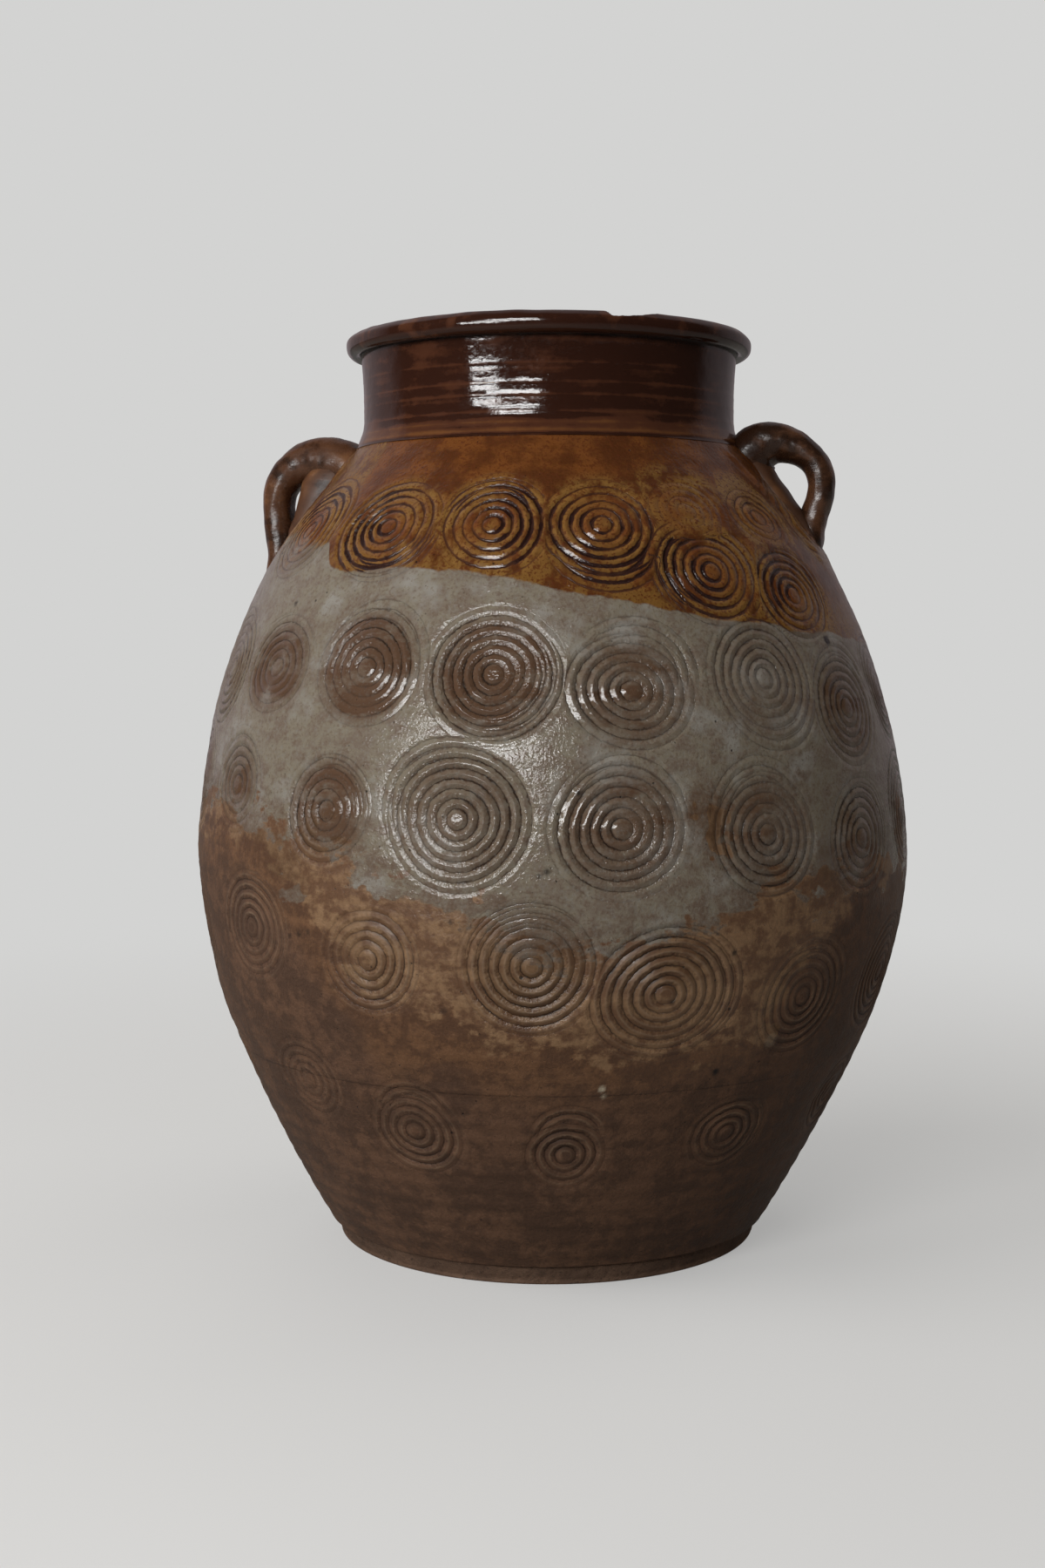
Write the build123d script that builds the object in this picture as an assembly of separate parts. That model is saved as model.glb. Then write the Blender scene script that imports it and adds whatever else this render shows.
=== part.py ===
from build123d import *
import os

# A stoneware storage jar, thrown and luted in stages, with two pulled clay lugs.
# The origin is on the jar's axis, in the plane that it stands on. The mouth faces +Z and
# the chipped side of the rim faces -Y. All lengths are millimetres.

# The stages from the bottom up: each piece's own height
slab_thickness = 11.0
foot_wall_height = 101.0
lower_belly_wall_height = 105.5
upper_belly_wall_height = 104.5
shoulder_height = 115.0
neck_height = 56.0
rim_height = 7.0

# The seams and levels that follow from them
lower_seam_height = slab_thickness + foot_wall_height
belly_height = lower_seam_height + lower_belly_wall_height
upper_seam_height = belly_height + upper_belly_wall_height
neck_foot_height = upper_seam_height + shoulder_height
rim_seat_height = neck_foot_height + neck_height
jar_height = rim_seat_height + rim_height

# Body: how wide it is, how thick, and how far each luted seam drops inwards
belly_radius = 198.5
wall_thickness = 9.5
seam_drop = 4.0

# Bottom slab, its flared band, and the wall that stands out over it
foot_radius = 116.6
slab_band_flare = 4.9
wall_foot_overhang = 2.3
foot_edge_round = 2.5
inner_cove_radius = 9.0
slab_top_radius = foot_radius + slab_band_flare
wall_foot_radius = slab_top_radius + wall_foot_overhang

# Neck: a straight bore, and a wall that flares at its foot and top from a slim waist
mouth_radius = 92.5
neck_wall_thickness = 10.4
neck_foot_flare = 4.6
neck_cove_flare = 0.9
neck_top_flare = 1.9
neck_cove_rise = 9.5
neck_waist_rise = 24.0
mouth_bore_foot_rise = 12.0
ring_groove_width = 2.4
ring_groove_depth = 0.8
ring_groove_height_shares = (0.22, 0.40, 0.52, 0.70)
neck_waist_radius = mouth_radius + neck_wall_thickness
neck_foot_radius = neck_waist_radius + neck_foot_flare
neck_cove_radius = neck_waist_radius + neck_cove_flare
neck_top_radius = neck_waist_radius + neck_top_flare

# Rolled rim: how far it stands out from the neck, and the round of its inner edge
rim_projection = 7.6
rim_under_flare = 3.0
rim_under_drop = 2.0
rim_crest_inset = 3.8
rim_inner_drop = 1.6
rim_nose_share = 0.26
rim_inner_round_share = 0.8333
rim_radius = neck_top_radius + rim_projection
rim_under_radius = neck_top_radius + rim_under_flare
rim_crest_radius = rim_radius - rim_crest_inset

# Old chip in the rim: a flake off the outer half of the lip
chip_azimuth = 23.2
chip_width = 33.0
chip_depth = 3.6
chip_reach = 13.0
chip_steep_width = 3.5

# Lugs: the azimuth is measured from -Y towards +X, each upper root lies a drop below the
# neck's foot, and a loop's or pad's height is measured down from that root
right_lug_azimuth = 79.0
right_lug_top_drop = 5.0
right_lug_height = 64.0
right_lug_reach = 27.0
right_lug_thickness = 15.4
right_lug_width = 23.0
right_pad_height = 34.0
right_pad_width = 33.0
right_pad_rise = 3.6

left_lug_azimuth = -103.0
left_lug_top_drop = 5.0
left_lug_height = 70.0
left_lug_reach = 32.0
left_lug_thickness = 17.2
left_lug_width = 26.0
left_pad_height = 42.0
left_pad_width = 30.0
left_pad_rise = 12.0

# One overrun serves every cut
overrun = 10.0

# The upright section is drawn at this azimuth, and a height is looked up on it by halving
section_azimuth = 90.0
halvings = 40

# Outer curve: shares of the way up, and of the swing in radius, between two driving circles
foot_to_belly_shares = ((0.20, 0.312), (0.40, 0.583), (0.60, 0.812), (0.80, 0.951))
belly_to_neck_shares = (
    (0.20, 0.047), (0.40, 0.152), (0.60, 0.333), (0.70, 0.452), (0.80, 0.603), (0.90, 0.808)
)
inner_point_shares = (0.0, 0.12, 0.24, 0.36, 0.48, 0.60, 0.72, 0.84, 0.93, 1.0)

# Right loop: along the chord between its roots, out from it, thickness and width
right_loop_shares = (
    (0.060, -0.27, 1.95, 1.45),
    (0.006, 0.09, 1.86, 1.40),
    (-0.003, 0.38, 1.71, 1.30),
    (0.038, 0.64, 1.47, 1.18),
    (0.113, 0.83, 1.27, 1.08),
    (0.212, 0.97, 1.12, 1.02),
    (0.326, 1.00, 1.03, 1.00),
    (0.433, 0.89, 1.00, 0.98),
    (0.518, 0.66, 1.00, 0.96),
    (0.584, 0.38, 0.99, 0.98),
    (0.660, 0.15, 0.94, 1.04),
    (0.774, 0.035, 0.70, 1.10),
    (0.890, -0.015, 0.42, 1.05),
    (0.980, -0.06, 0.20, 0.90),
)
# Left loop: a thick arm, a small eye, and a foot that is dragged down the shoulder
left_loop_shares = (
    (0.036, -0.184, 1.69, 1.40),
    (0.050, 0.134, 1.63, 1.35),
    (0.089, 0.444, 1.56, 1.25),
    (0.154, 0.684, 1.47, 1.15),
    (0.243, 0.859, 1.33, 1.08),
    (0.345, 0.944, 1.17, 1.02),
    (0.446, 0.922, 1.06, 1.00),
    (0.535, 0.800, 1.00, 1.00),
    (0.619, 0.606, 1.01, 1.00),
    (0.704, 0.388, 1.00, 1.02),
    (0.800, 0.2125, 0.88, 1.06),
    (0.908, 0.081, 0.72, 1.04),
    (1.009, -0.02, 0.48, 0.92),
)
# Pads under the loops: along the shoulder, rise and width
right_pad_shares = ((0.00, 1.70, 0.80), (0.30, 1.30, 1.00), (0.65, 0.85, 1.00), (1.00, 0.60, 0.80))
left_pad_shares = ((0.00, 1.20, 0.80), (0.30, 1.22, 1.00), (0.65, 0.92, 1.00), (1.00, 0.42, 0.85))


def between(low, high, share):
    """The value that lies at a share of the way from low to high."""
    return low + (high - low) * share


def section_point(radius, height):
    """A point of the jar's upright section."""
    return Vector(radius, 0, height)


def outer_curve():
    """One smooth curve up the outside, from the slab to the foot of the neck."""
    points = [section_point(wall_foot_radius, slab_thickness)]
    for rise_share, swell_share in foot_to_belly_shares:
        height = between(slab_thickness, belly_height, rise_share)
        radius = between(wall_foot_radius, belly_radius, swell_share)
        points.append(section_point(radius, height))
    points.append(section_point(belly_radius, belly_height))
    for rise_share, close_share in belly_to_neck_shares:
        height = between(belly_height, neck_foot_height, rise_share)
        radius = between(belly_radius, neck_foot_radius, close_share)
        points.append(section_point(radius, height))
    points.append(section_point(neck_foot_radius, neck_foot_height))
    return Spline(*points)


def outward_normal(curve, share):
    """The direction square to the wall, pointing out of the jar."""
    tangent = curve.tangent_at(share)
    return Vector(tangent.Z, 0, -tangent.X)


def inner_curve(outer):
    """The inside of the wall, one wall thickness in from the outer curve."""
    points = []
    for share in inner_point_shares:
        points.append(outer.position_at(share) - outward_normal(outer, share) * wall_thickness)
    return Spline(*points)


def share_at_height(curve, height):
    """The share of a rising curve's length at which it reaches a height."""
    low, high = 0.0, 1.0
    for _ in range(halvings):
        middle = (low + high) / 2
        if curve.position_at(middle).Z < height:
            low = middle
        else:
            high = middle
    return low


def stretch(curve, low_height, high_height):
    """The part of a rising curve between two heights."""
    return curve.trim(share_at_height(curve, low_height), share_at_height(curve, high_height))


def turned(edges):
    """A closed outline turned once round the jar's axis."""
    return revolve(make_face(edges), axis=Axis.Z)


def wall_stage(outer, inner, low_height, high_height):
    """One luted stage of wall, with seams that drop inwards."""
    outside = stretch(outer, low_height, high_height)
    inside = stretch(inner, low_height - seam_drop, high_height - seam_drop)
    floor_seam = Line(inside @ 0, outside @ 0)
    roof_seam = Line(outside @ 1, inside @ 1)
    return turned([outside, roof_seam, inside, floor_seam])


def foot_wall(outer, inner):
    """The first stage stands on the slab, with a smoothed cove inside."""
    outside = stretch(outer, slab_thickness, lower_seam_height)
    cove_top_height = slab_thickness + inner_cove_radius
    inside = stretch(inner, cove_top_height, lower_seam_height - seam_drop)
    cove_top = inside @ 0
    cove_foot = section_point(cove_top.X - inner_cove_radius, slab_thickness)
    cove = TangentArc(cove_top, cove_foot, tangent=(inside % 0) * -1)
    seat = Line(cove_foot, outside @ 0)
    roof_seam = Line(outside @ 1, inside @ 1)
    return turned([outside, roof_seam, inside, cove, seat])


def shoulder_wall(outer, inner):
    """The closing stage ends square to the wall at the foot of the neck."""
    outside = stretch(outer, upper_seam_height, neck_foot_height)
    inside = inner.trim(share_at_height(inner, upper_seam_height - seam_drop), 1)
    floor_seam = Line(inside @ 0, outside @ 0)
    roof_seam = Line(outside @ 1, inside @ 1)
    return turned([outside, roof_seam, inside, floor_seam])


def base_disc():
    """The slab: a flat foot, a rounded lower edge and a slightly flared band."""
    round_start = section_point(foot_radius, 0)
    round_end = section_point(foot_radius + foot_edge_round / 2, foot_edge_round)
    centre_foot = section_point(0, 0)
    centre_top = section_point(0, slab_thickness)
    band_top = section_point(slab_top_radius, slab_thickness)
    edge_round = TangentArc(round_start, round_end, tangent=(1, 0, 0))
    outline = [
        Line(centre_foot, round_start),
        edge_round,
        Line(round_end, band_top),
        Line(band_top, centre_top),
        Line(centre_top, centre_foot),
    ]
    return turned(outline)


def neck_outside():
    """The waisted outer curve of the neck."""
    return Spline(
        section_point(neck_foot_radius, neck_foot_height),
        section_point(neck_cove_radius, neck_foot_height + neck_cove_rise),
        section_point(neck_waist_radius, neck_foot_height + neck_waist_rise),
        section_point(neck_top_radius, rim_seat_height),
    )


def neck_outline():
    """The outer curve of the neck, broken by shallow throwing rings."""
    curve = neck_outside()
    edges = []
    reached = neck_foot_height
    for share in ring_groove_height_shares:
        height = between(neck_foot_height, rim_seat_height, share)
        plain = stretch(curve, reached, height - ring_groove_width / 2)
        bottom = curve.position_at(share_at_height(curve, height)) - Vector(ring_groove_depth, 0, 0)
        reached = height + ring_groove_width / 2
        top = curve.position_at(share_at_height(curve, reached))
        edges += [plain, Line(plain @ 1, bottom), Line(bottom, top)]
    edges.append(curve.trim(share_at_height(curve, reached), 1))
    return edges


def neck_collar(inner):
    """The neck: waisted outside, straight inside, luted square to the shoulder."""
    outside = neck_outline()
    foot_inside = inner @ 1
    bore_foot = section_point(mouth_radius, neck_foot_height + mouth_bore_foot_rise)
    bore_top = section_point(mouth_radius, rim_seat_height)
    inside_cove = Spline(foot_inside, bore_foot, tangents=[inner % 1, Vector(0, 0, 1)])
    outline = [
        *outside,
        Line(outside[-1] @ 1, bore_top),
        Line(bore_top, bore_foot),
        inside_cove,
        Line(foot_inside, outside[0] @ 0),
    ]
    return turned(outline)


def rim_chip():
    """The flake: steep at one end and running out gently at the other."""
    top = jar_height
    left = -chip_width / 2
    right = chip_width / 2
    left_foot = left + chip_steep_width
    steep = Line((left, top), (left_foot, top - chip_depth))
    gentle = Spline(
        (left_foot, top - chip_depth),
        (right, top),
        tangents=[(1, 0), (chip_width, chip_depth)],
    )
    lid = Polyline((right, top), (right, top + overrun), (left, top + overrun), (left, top))
    outline = make_face([steep, gentle, *lid.edges()])
    scoop = extrude(Plane.XZ * outline, chip_reach + overrun)
    return Rot(0, 0, chip_azimuth) * Pos(0, -(rim_radius - chip_reach), 0) * scoop


def rolled_rim():
    """The everted lip: undercut below, rounded at the nose, sloping in to the mouth."""
    seat_edge = section_point(neck_top_radius, rim_seat_height)
    under = section_point(rim_under_radius, rim_seat_height - rim_under_drop)
    nose_height = between(rim_seat_height, jar_height, rim_nose_share)
    nose = section_point(rim_radius, nose_height)
    crest = section_point(rim_crest_radius, jar_height)
    lip_height = jar_height - rim_inner_drop
    inner_round = (lip_height - rim_seat_height) * rim_inner_round_share
    lip = section_point(mouth_radius + inner_round, lip_height)
    bore_edge = section_point(mouth_radius, lip_height - inner_round)
    bore_foot = section_point(mouth_radius, rim_seat_height)
    slope = Vector(crest.X - lip.X, 0, crest.Z - lip.Z)
    roll_below = Spline(under, nose, tangents=[Vector(1, 0, 0), Vector(0, 0, 1)])
    roll_above = Spline(nose, crest, tangents=[Vector(0, 0, 1), slope * -1])
    lip_round = Spline(lip, bore_edge, tangents=[slope * -1, Vector(0, 0, -1)])
    outline = [
        roll_below,
        roll_above,
        Line(crest, lip),
        lip_round,
        Line(bore_edge, bore_foot),
        Line(bore_foot, seat_edge),
        Line(seat_edge, under),
    ]
    return turned(outline) - rim_chip()


def filled_body(outer):
    """Everything inside the outer curve and the neck, for trimming what sits on them."""
    neck = neck_outside()
    outline = [
        outer,
        neck,
        Line(neck @ 1, section_point(0, rim_seat_height)),
        Line(section_point(0, rim_seat_height), section_point(0, slab_thickness)),
        Line(section_point(0, slab_thickness), outer @ 0),
    ]
    return turned(outline)


def chord_frame(outer, top_height, foot_height):
    """Where a lug's chord starts on the shoulder, along it, and square out from it."""
    start = outer.position_at(share_at_height(outer, top_height))
    end = outer.position_at(share_at_height(outer, foot_height))
    along = end - start
    outward = Vector(-along.Z, 0, along.X).normalized()
    return start, along, outward


def oval_section(centre, direction, thickness, width):
    """An oval cut across a strap, flat to its direction, wide across the lug's plane."""
    plane = Plane(origin=centre, x_dir=Vector(0, 1, 0), z_dir=direction)
    return plane * Ellipse(width / 2, thickness / 2)


def loop_solid(chord, reach, thickness, width, shares):
    """A pulled strap that arches from its upper root to its lower one."""
    start, along, outward = chord
    points = []
    for along_share, out_share, _, _ in shares:
        points.append(start + along * along_share + outward * (reach * out_share))
    centre_line = Spline(*points)
    sections = []
    for point, (_, _, thick_share, wide_share) in zip(points, shares):
        direction = centre_line.tangent_at(centre_line.param_at_point(point))
        sections.append(oval_section(point, direction, thickness * thick_share, width * wide_share))
    return loft(sections)


def pad_solid(outer, top_height, foot_height, rise, width, shares):
    """A smear of clay along the shoulder, thick at the upper root."""
    top_share = share_at_height(outer, top_height)
    foot_share = share_at_height(outer, foot_height)
    sections = []
    for along_share, rise_share, wide_share in shares:
        share = between(top_share, foot_share, along_share)
        point = outer.position_at(share)
        direction = outer.tangent_at(share) * -1
        sections.append(oval_section(point, direction, 2 * rise * rise_share, width * wide_share))
    return loft(sections)


def turn_to(azimuth):
    """The turn that takes the section plane to an azimuth from -Y towards +X."""
    return Rot(0, 0, azimuth - section_azimuth)


def lug(outer, body, azimuth, loop, pad):
    """Seat a loop and its pad on the shoulder and turn both to their azimuth."""
    seated_loop = loop - body
    seated_pad = pad - body - loop
    turn = turn_to(azimuth)
    return turn * seated_loop, turn * seated_pad


def right_lug(outer, body):
    """The right lug's loop and pad."""
    top_height = neck_foot_height - right_lug_top_drop
    chord = chord_frame(outer, top_height, top_height - right_lug_height)
    loop = loop_solid(
        chord, right_lug_reach, right_lug_thickness, right_lug_width, right_loop_shares
    )
    pad = pad_solid(
        outer,
        top_height,
        top_height - right_pad_height,
        right_pad_rise,
        right_pad_width,
        right_pad_shares,
    )
    return lug(outer, body, right_lug_azimuth, loop, pad)


def left_lug(outer, body):
    """The left lug's loop and pad."""
    top_height = neck_foot_height - left_lug_top_drop
    chord = chord_frame(outer, top_height, top_height - left_lug_height)
    loop = loop_solid(chord, left_lug_reach, left_lug_thickness, left_lug_width, left_loop_shares)
    pad = pad_solid(
        outer,
        top_height,
        top_height - left_pad_height,
        left_pad_rise,
        left_pad_width,
        left_pad_shares,
    )
    return lug(outer, body, left_lug_azimuth, loop, pad)


def main():
    """Build every piece and write one file for each."""
    outer = outer_curve()
    inner = inner_curve(outer)
    body = filled_body(outer)
    right_loop, right_pad = right_lug(outer, body)
    left_loop, left_pad = left_lug(outer, body)
    pieces = {
        "base_disc": base_disc(),
        "foot_wall": foot_wall(outer, inner),
        "lower_belly_wall": wall_stage(outer, inner, lower_seam_height, belly_height),
        "upper_belly_wall": wall_stage(outer, inner, belly_height, upper_seam_height),
        "shoulder_wall": shoulder_wall(outer, inner),
        "neck_collar": neck_collar(inner),
        "rolled_rim": rolled_rim(),
        "right_lug_loop": right_loop,
        "right_lug_pad": right_pad,
        "left_lug_loop": left_loop,
        "left_lug_pad": left_pad,
    }
    os.makedirs("parts", exist_ok=True)
    for name, piece in pieces.items():
        export_step(piece, os.path.join("parts", f"{name}.step"))


main()
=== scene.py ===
"""A thrown, stamped and dip-glazed stoneware storage jar, dressed piece by piece.

Lengths are millimetres and angles degrees while a form is worked out. An azimuth is measured
from the front of the jar (-Y) towards its right side (+X). A finished mesh is in metres.
"""

from __future__ import annotations

import logging
import math
from dataclasses import dataclass, field, replace
from enum import Enum
from typing import Any

import bmesh
import bpy
import numpy as np
from mathutils import Matrix, Vector

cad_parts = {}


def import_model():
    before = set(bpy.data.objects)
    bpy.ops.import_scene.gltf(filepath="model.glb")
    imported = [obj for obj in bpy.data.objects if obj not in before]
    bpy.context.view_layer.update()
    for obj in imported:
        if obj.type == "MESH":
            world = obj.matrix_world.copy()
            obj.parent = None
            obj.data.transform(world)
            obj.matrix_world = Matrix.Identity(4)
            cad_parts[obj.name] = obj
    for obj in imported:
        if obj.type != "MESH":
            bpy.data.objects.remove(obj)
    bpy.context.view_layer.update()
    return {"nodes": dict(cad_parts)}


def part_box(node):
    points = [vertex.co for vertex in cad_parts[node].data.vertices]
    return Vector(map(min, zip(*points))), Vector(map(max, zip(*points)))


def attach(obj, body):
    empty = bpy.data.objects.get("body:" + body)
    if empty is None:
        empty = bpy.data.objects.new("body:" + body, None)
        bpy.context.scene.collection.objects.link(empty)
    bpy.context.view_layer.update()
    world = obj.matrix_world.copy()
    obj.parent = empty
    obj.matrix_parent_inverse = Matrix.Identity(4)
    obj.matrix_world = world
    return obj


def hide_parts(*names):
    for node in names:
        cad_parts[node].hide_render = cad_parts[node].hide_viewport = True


Array = np.ndarray
Tree = bpy.types.NodeTree
Socket = bpy.types.NodeSocket
Material = bpy.types.Material
Piece = bpy.types.Object

MM = 0.001
BODY = "root"
LOG = logging.getLogger("jar")

# Stations round the jar, the same for every turned piece, so that their edges meet
STATIONS = 960
SECTORS = 8
MERGE_DISTANCE = 1e-3
CREASE_ANGLE = 52.0

# The stamp: a boss, then rings a steady pitch apart, and the distance kept where none is near
BOSS_RADIUS = 5.3
RING_PITCH = 5.0
NO_STAMP = 60.0


class Slot(Enum):
    """The record's material slots."""

    BARE = "bare_stoneware"
    ASH = "ash_glaze"
    AMBER = "amber_glaze"
    BROWN = "brown_glaze"


class Field(Enum):
    """What a mesh stores at each vertex for its finish."""

    STRIKE = "strike_mm"
    HOLD = "strike_hold"
    RESTRIKE = "restrike_mm"
    REHOLD = "restrike_hold"
    AMBER = "above_amber_mm"
    ASH = "above_ash_mm"
    TAN = "above_tan_mm"
    RUST = "above_rust_mm"
    TONE = "stamp_tone"
    INSIDE = "inside"
    MARK = "mark"
    THIN = "thin_glaze"
    BREAK = "old_break"


# The body walls carry the first fields, and the neck, rim and lugs the last
BODY_FIELDS = tuple(Field)[:11]
IRON_FIELDS = (Field.THIN, Field.INSIDE, Field.BREAK)


def smooth(low: float, high: float, value: Array) -> Array:
    """A soft step from 0 at low to 1 at high; low may be the larger of the two."""
    share = np.clip((value - low) / (high - low), 0.0, 1.0)
    return share * share * (3.0 - 2.0 * share)


def bell(offset: Array, width: float) -> Array:
    """A soft hump, 1 where the offset is 0 and nearly gone at twice its width."""
    return np.exp(-((offset / width) ** 2))


def turned_from(azimuth: Array, centre: float) -> Array:
    """How far round each azimuth is from a centre, in radians, the shorter way."""
    return np.radians((azimuth - centre + 180.0) % 360.0 - 180.0)


def ripple(points: Array, wavelength: float, seed: int, waves: int = 14) -> Array:
    """Soft unevenness in space, about -1 to 1.

    Args:
        points: Places in millimetres, one row each.
        wavelength: The typical distance from one swelling to the next.
        seed: Which pattern.
        waves: How many waves are summed.

    Returns:
        One value for each point.
    """
    draw = np.random.default_rng(seed)
    total = np.zeros(len(points))
    for _ in range(waves):
        heading = draw.normal(size=3)
        heading /= np.linalg.norm(heading)
        stretch = draw.uniform(0.7, 1.4)
        phase = draw.uniform(0.0, 2.0 * math.pi)
        total += np.cos(points @ heading * (2.0 * math.pi / (wavelength * stretch)) + phase)
    return total / math.sqrt(waves) / 1.4


@dataclass(frozen=True)
class Swell:
    """Unevenness of one size: its strength, the distance between swellings, and its seed.

    An upright share under 1 draws it out upwards, and one over 1 round the jar.
    """

    strength: float
    wavelength: float
    seed: int
    upright: float = 1.0


def swelled(places: Array, *swells: Swell) -> Array:
    """The sum of several sizes of unevenness at each place.

    Args:
        places: Places in millimetres, one row each.
        *swells: The sizes that are summed.

    Returns:
        One value for each place.
    """
    return sum(
        swell.strength * ripple(places * (1.0, 1.0, swell.upright), swell.wavelength, swell.seed)
        for swell in swells
    )


class SmoothLine:
    """A smooth line through measured points, one value for each place along it."""

    def __init__(self, places: Array, values: Array) -> None:
        """Keep the points and work out a slope at each.

        Args:
            places: Rising places.
            values: The value at each place.
        """
        self.places = np.asarray(places, float)
        self.values = np.asarray(values, float)
        self.slopes = np.gradient(self.values, self.places)

    def _spans(self, at: Array) -> tuple[Array, Array, Array]:
        """The span that each place lies in, its width, and the share of the way along it.

        Args:
            at: Places along the line.

        Returns:
            Each place's span by number, the span's width, and the share.
        """
        index = np.clip(np.searchsorted(self.places, at) - 1, 0, len(self.places) - 2)
        width = self.places[index + 1] - self.places[index]
        share = np.clip((at - self.places[index]) / width, 0.0, 1.0)
        return index, width, share

    def at(self, at: Any) -> Array:
        """The value at one place or many.

        Args:
            at: A place along the line, or many.

        Returns:
            The value at each.
        """
        index, width, t = self._spans(np.asarray(at, float))
        rise = self.values[index + 1] - self.values[index]
        start, end = self.slopes[index] * width, self.slopes[index + 1] * width
        bend = start * (t - 2 * t**2 + t**3) + end * (t**3 - t**2)
        return self.values[index] + rise * (3 * t**2 - 2 * t**3) + bend

    def slope(self, at: Any) -> Array:
        """The slope at one place or many, between the slopes at the points."""
        index, _, t = self._spans(np.asarray(at, float))
        return self.slopes[index] * (1 - t) + self.slopes[index + 1] * t


def along_path(points: Array) -> Array:
    """How far along a path each of its points lies."""
    return np.concatenate([[0.0], np.cumsum(np.linalg.norm(np.diff(points, axis=0), axis=1))])


def evened(steps: Array, rows: Array, count: int) -> Array:
    """Rows known at some steps along a path, smoothly redrawn at evenly spaced ones."""
    along = np.linspace(0.0, steps[-1], count)
    return np.stack([SmoothLine(steps, column).at(along) for column in rows.T], axis=1)


@dataclass(frozen=True)
class Tideline:
    """Where a glaze ends: heights chosen by azimuth, on a line that closes round the back."""

    points: tuple[tuple[float, float], ...]

    def height(self, azimuth: Array) -> Array:
        """The line's height at each azimuth."""
        marks = np.array(self.points)
        marks = np.concatenate([marks - (360.0, 0.0), marks, marks + (360.0, 0.0)])
        return SmoothLine(marks[:, 0], marks[:, 1]).at(azimuth)


@dataclass(frozen=True)
class Patch:
    """A soft-edged patch that lifts or lowers a tideline where the glaze ran or was wiped.

    A positive lift keeps more glaze above the line.
    """

    azimuth: float
    height: float
    half_width: float
    half_height: float
    lift: float

    def amount(self, azimuth: Array, height: Array, radius: Array) -> Array:
        """The lift at each place on the body, in millimetres."""
        across = turned_from(azimuth, self.azimuth) * radius
        reach = (across / self.half_width) ** 2 + ((height - self.height) / self.half_height) ** 2
        return self.lift * np.exp(-(reach**1.5))


@dataclass(frozen=True)
class Strike:
    """One press of the ringed stamp.

    The radius is how far its rings reach, depth its strength, tone how brown the glaze is in it,
    lean the bearing on the die where it bit deepest, and slip the offset of a second press.
    """

    azimuth: float
    height: float
    radius: float
    depth: float
    tone: float
    oval: float = 0.0
    lean: float = 0.0
    slip: tuple[float, float] = (0.0, 0.0)
    slip_hold: float = 0.0


@dataclass(frozen=True)
class LugSmear:
    """The low mound of clay pressed out round a lug, with a crease along each side.

    Its levels are heights on the shoulder, each pair the two ends of a soft step.
    """

    azimuth: float
    reach: float
    mound: float = 1.7
    mound_edge: tuple[float, float] = (5.0, -2.0)
    crease: float = 1.3
    crease_share: float = 0.6
    crease_width: float = 1.8
    crease_levels: tuple[float, float] = (376.0, 392.0)
    foot_levels: tuple[float, float] = (364.0, 384.0)
    top_levels: tuple[float, float] = (437.0, 428.0)
    middle: float = 400.0
    taper: float = 0.25

    def amount(self, azimuth: Array, height: Array, radius: Array) -> Array:
        """The lift at each place on the shoulder.

        Args:
            azimuth: The azimuth of each place.
            height: The height of each place.
            radius: The radius of each place.

        Returns:
            The lift at each place, in millimetres.
        """
        across = np.abs(turned_from(azimuth, self.azimuth)) * radius
        level = smooth(*self.foot_levels, height) * smooth(*self.top_levels, height)
        spread = across + self.taper * (self.middle - height)
        mound = self.mound * smooth(*self.mound_edge, spread - self.reach)
        crease = self.crease * bell(across - self.reach * self.crease_share, self.crease_width)
        return (mound - crease * smooth(*self.crease_levels, height)) * level


@dataclass(frozen=True)
class Fleck:
    """A single spot in the glaze: dark iron where its strength is positive, pale where not."""

    azimuth: float
    height: float
    radius: float
    strength: float


LUG_SMEARS = (LugSmear(79.0, 35.0), LugSmear(-103.0, 30.0))

AMBER_LINE = Tideline((
    (-103, 379), (-62, 381), (-52, 381), (-49.5, 383), (-47, 374), (-43, 369.5), (-38, 368),
    (-32, 369.5), (-21, 368), (-11, 365), (-2, 360), (7, 355), (15, 350), (24, 346), (35, 342),
    (48, 338), (56, 336), (80, 330), (105, 327), (130, 332), (160, 343), (190, 352), (225, 368),
))
ASH_LINE = Tideline((
    (-90, 232), (-66, 250), (-52, 241), (-42, 237), (-31, 231), (-24, 219), (-17, 208),
    (-12, 202), (-4, 188), (6, 182), (14, 192), (22, 200), (32, 212), (44, 206), (56, 216),
    (75, 205), (95, 214), (120, 196), (150, 208), (180, 190), (210, 214), (240, 205),
))
TAN_LINE = Tideline((
    (-90, 228), (-62, 236), (-48, 227), (-38, 202), (-31, 167), (-24, 154), (-14, 146),
    (-6, 143), (4, 137), (14, 132), (24, 140), (32, 150), (40, 176), (50, 203), (62, 212),
    (90, 196), (120, 160), (150, 146), (180, 142), (210, 170), (240, 205),
))
RUST_LINE = Tideline((
    (-90, 212), (-60, 216), (-47, 204), (-38, 168), (-29, 128), (-14, 119), (-2, 114),
    (10, 111), (22, 120), (32, 133), (40, 166), (50, 196), (62, 204), (90, 176), (120, 132),
    (160, 118), (200, 128), (235, 176),
))
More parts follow.
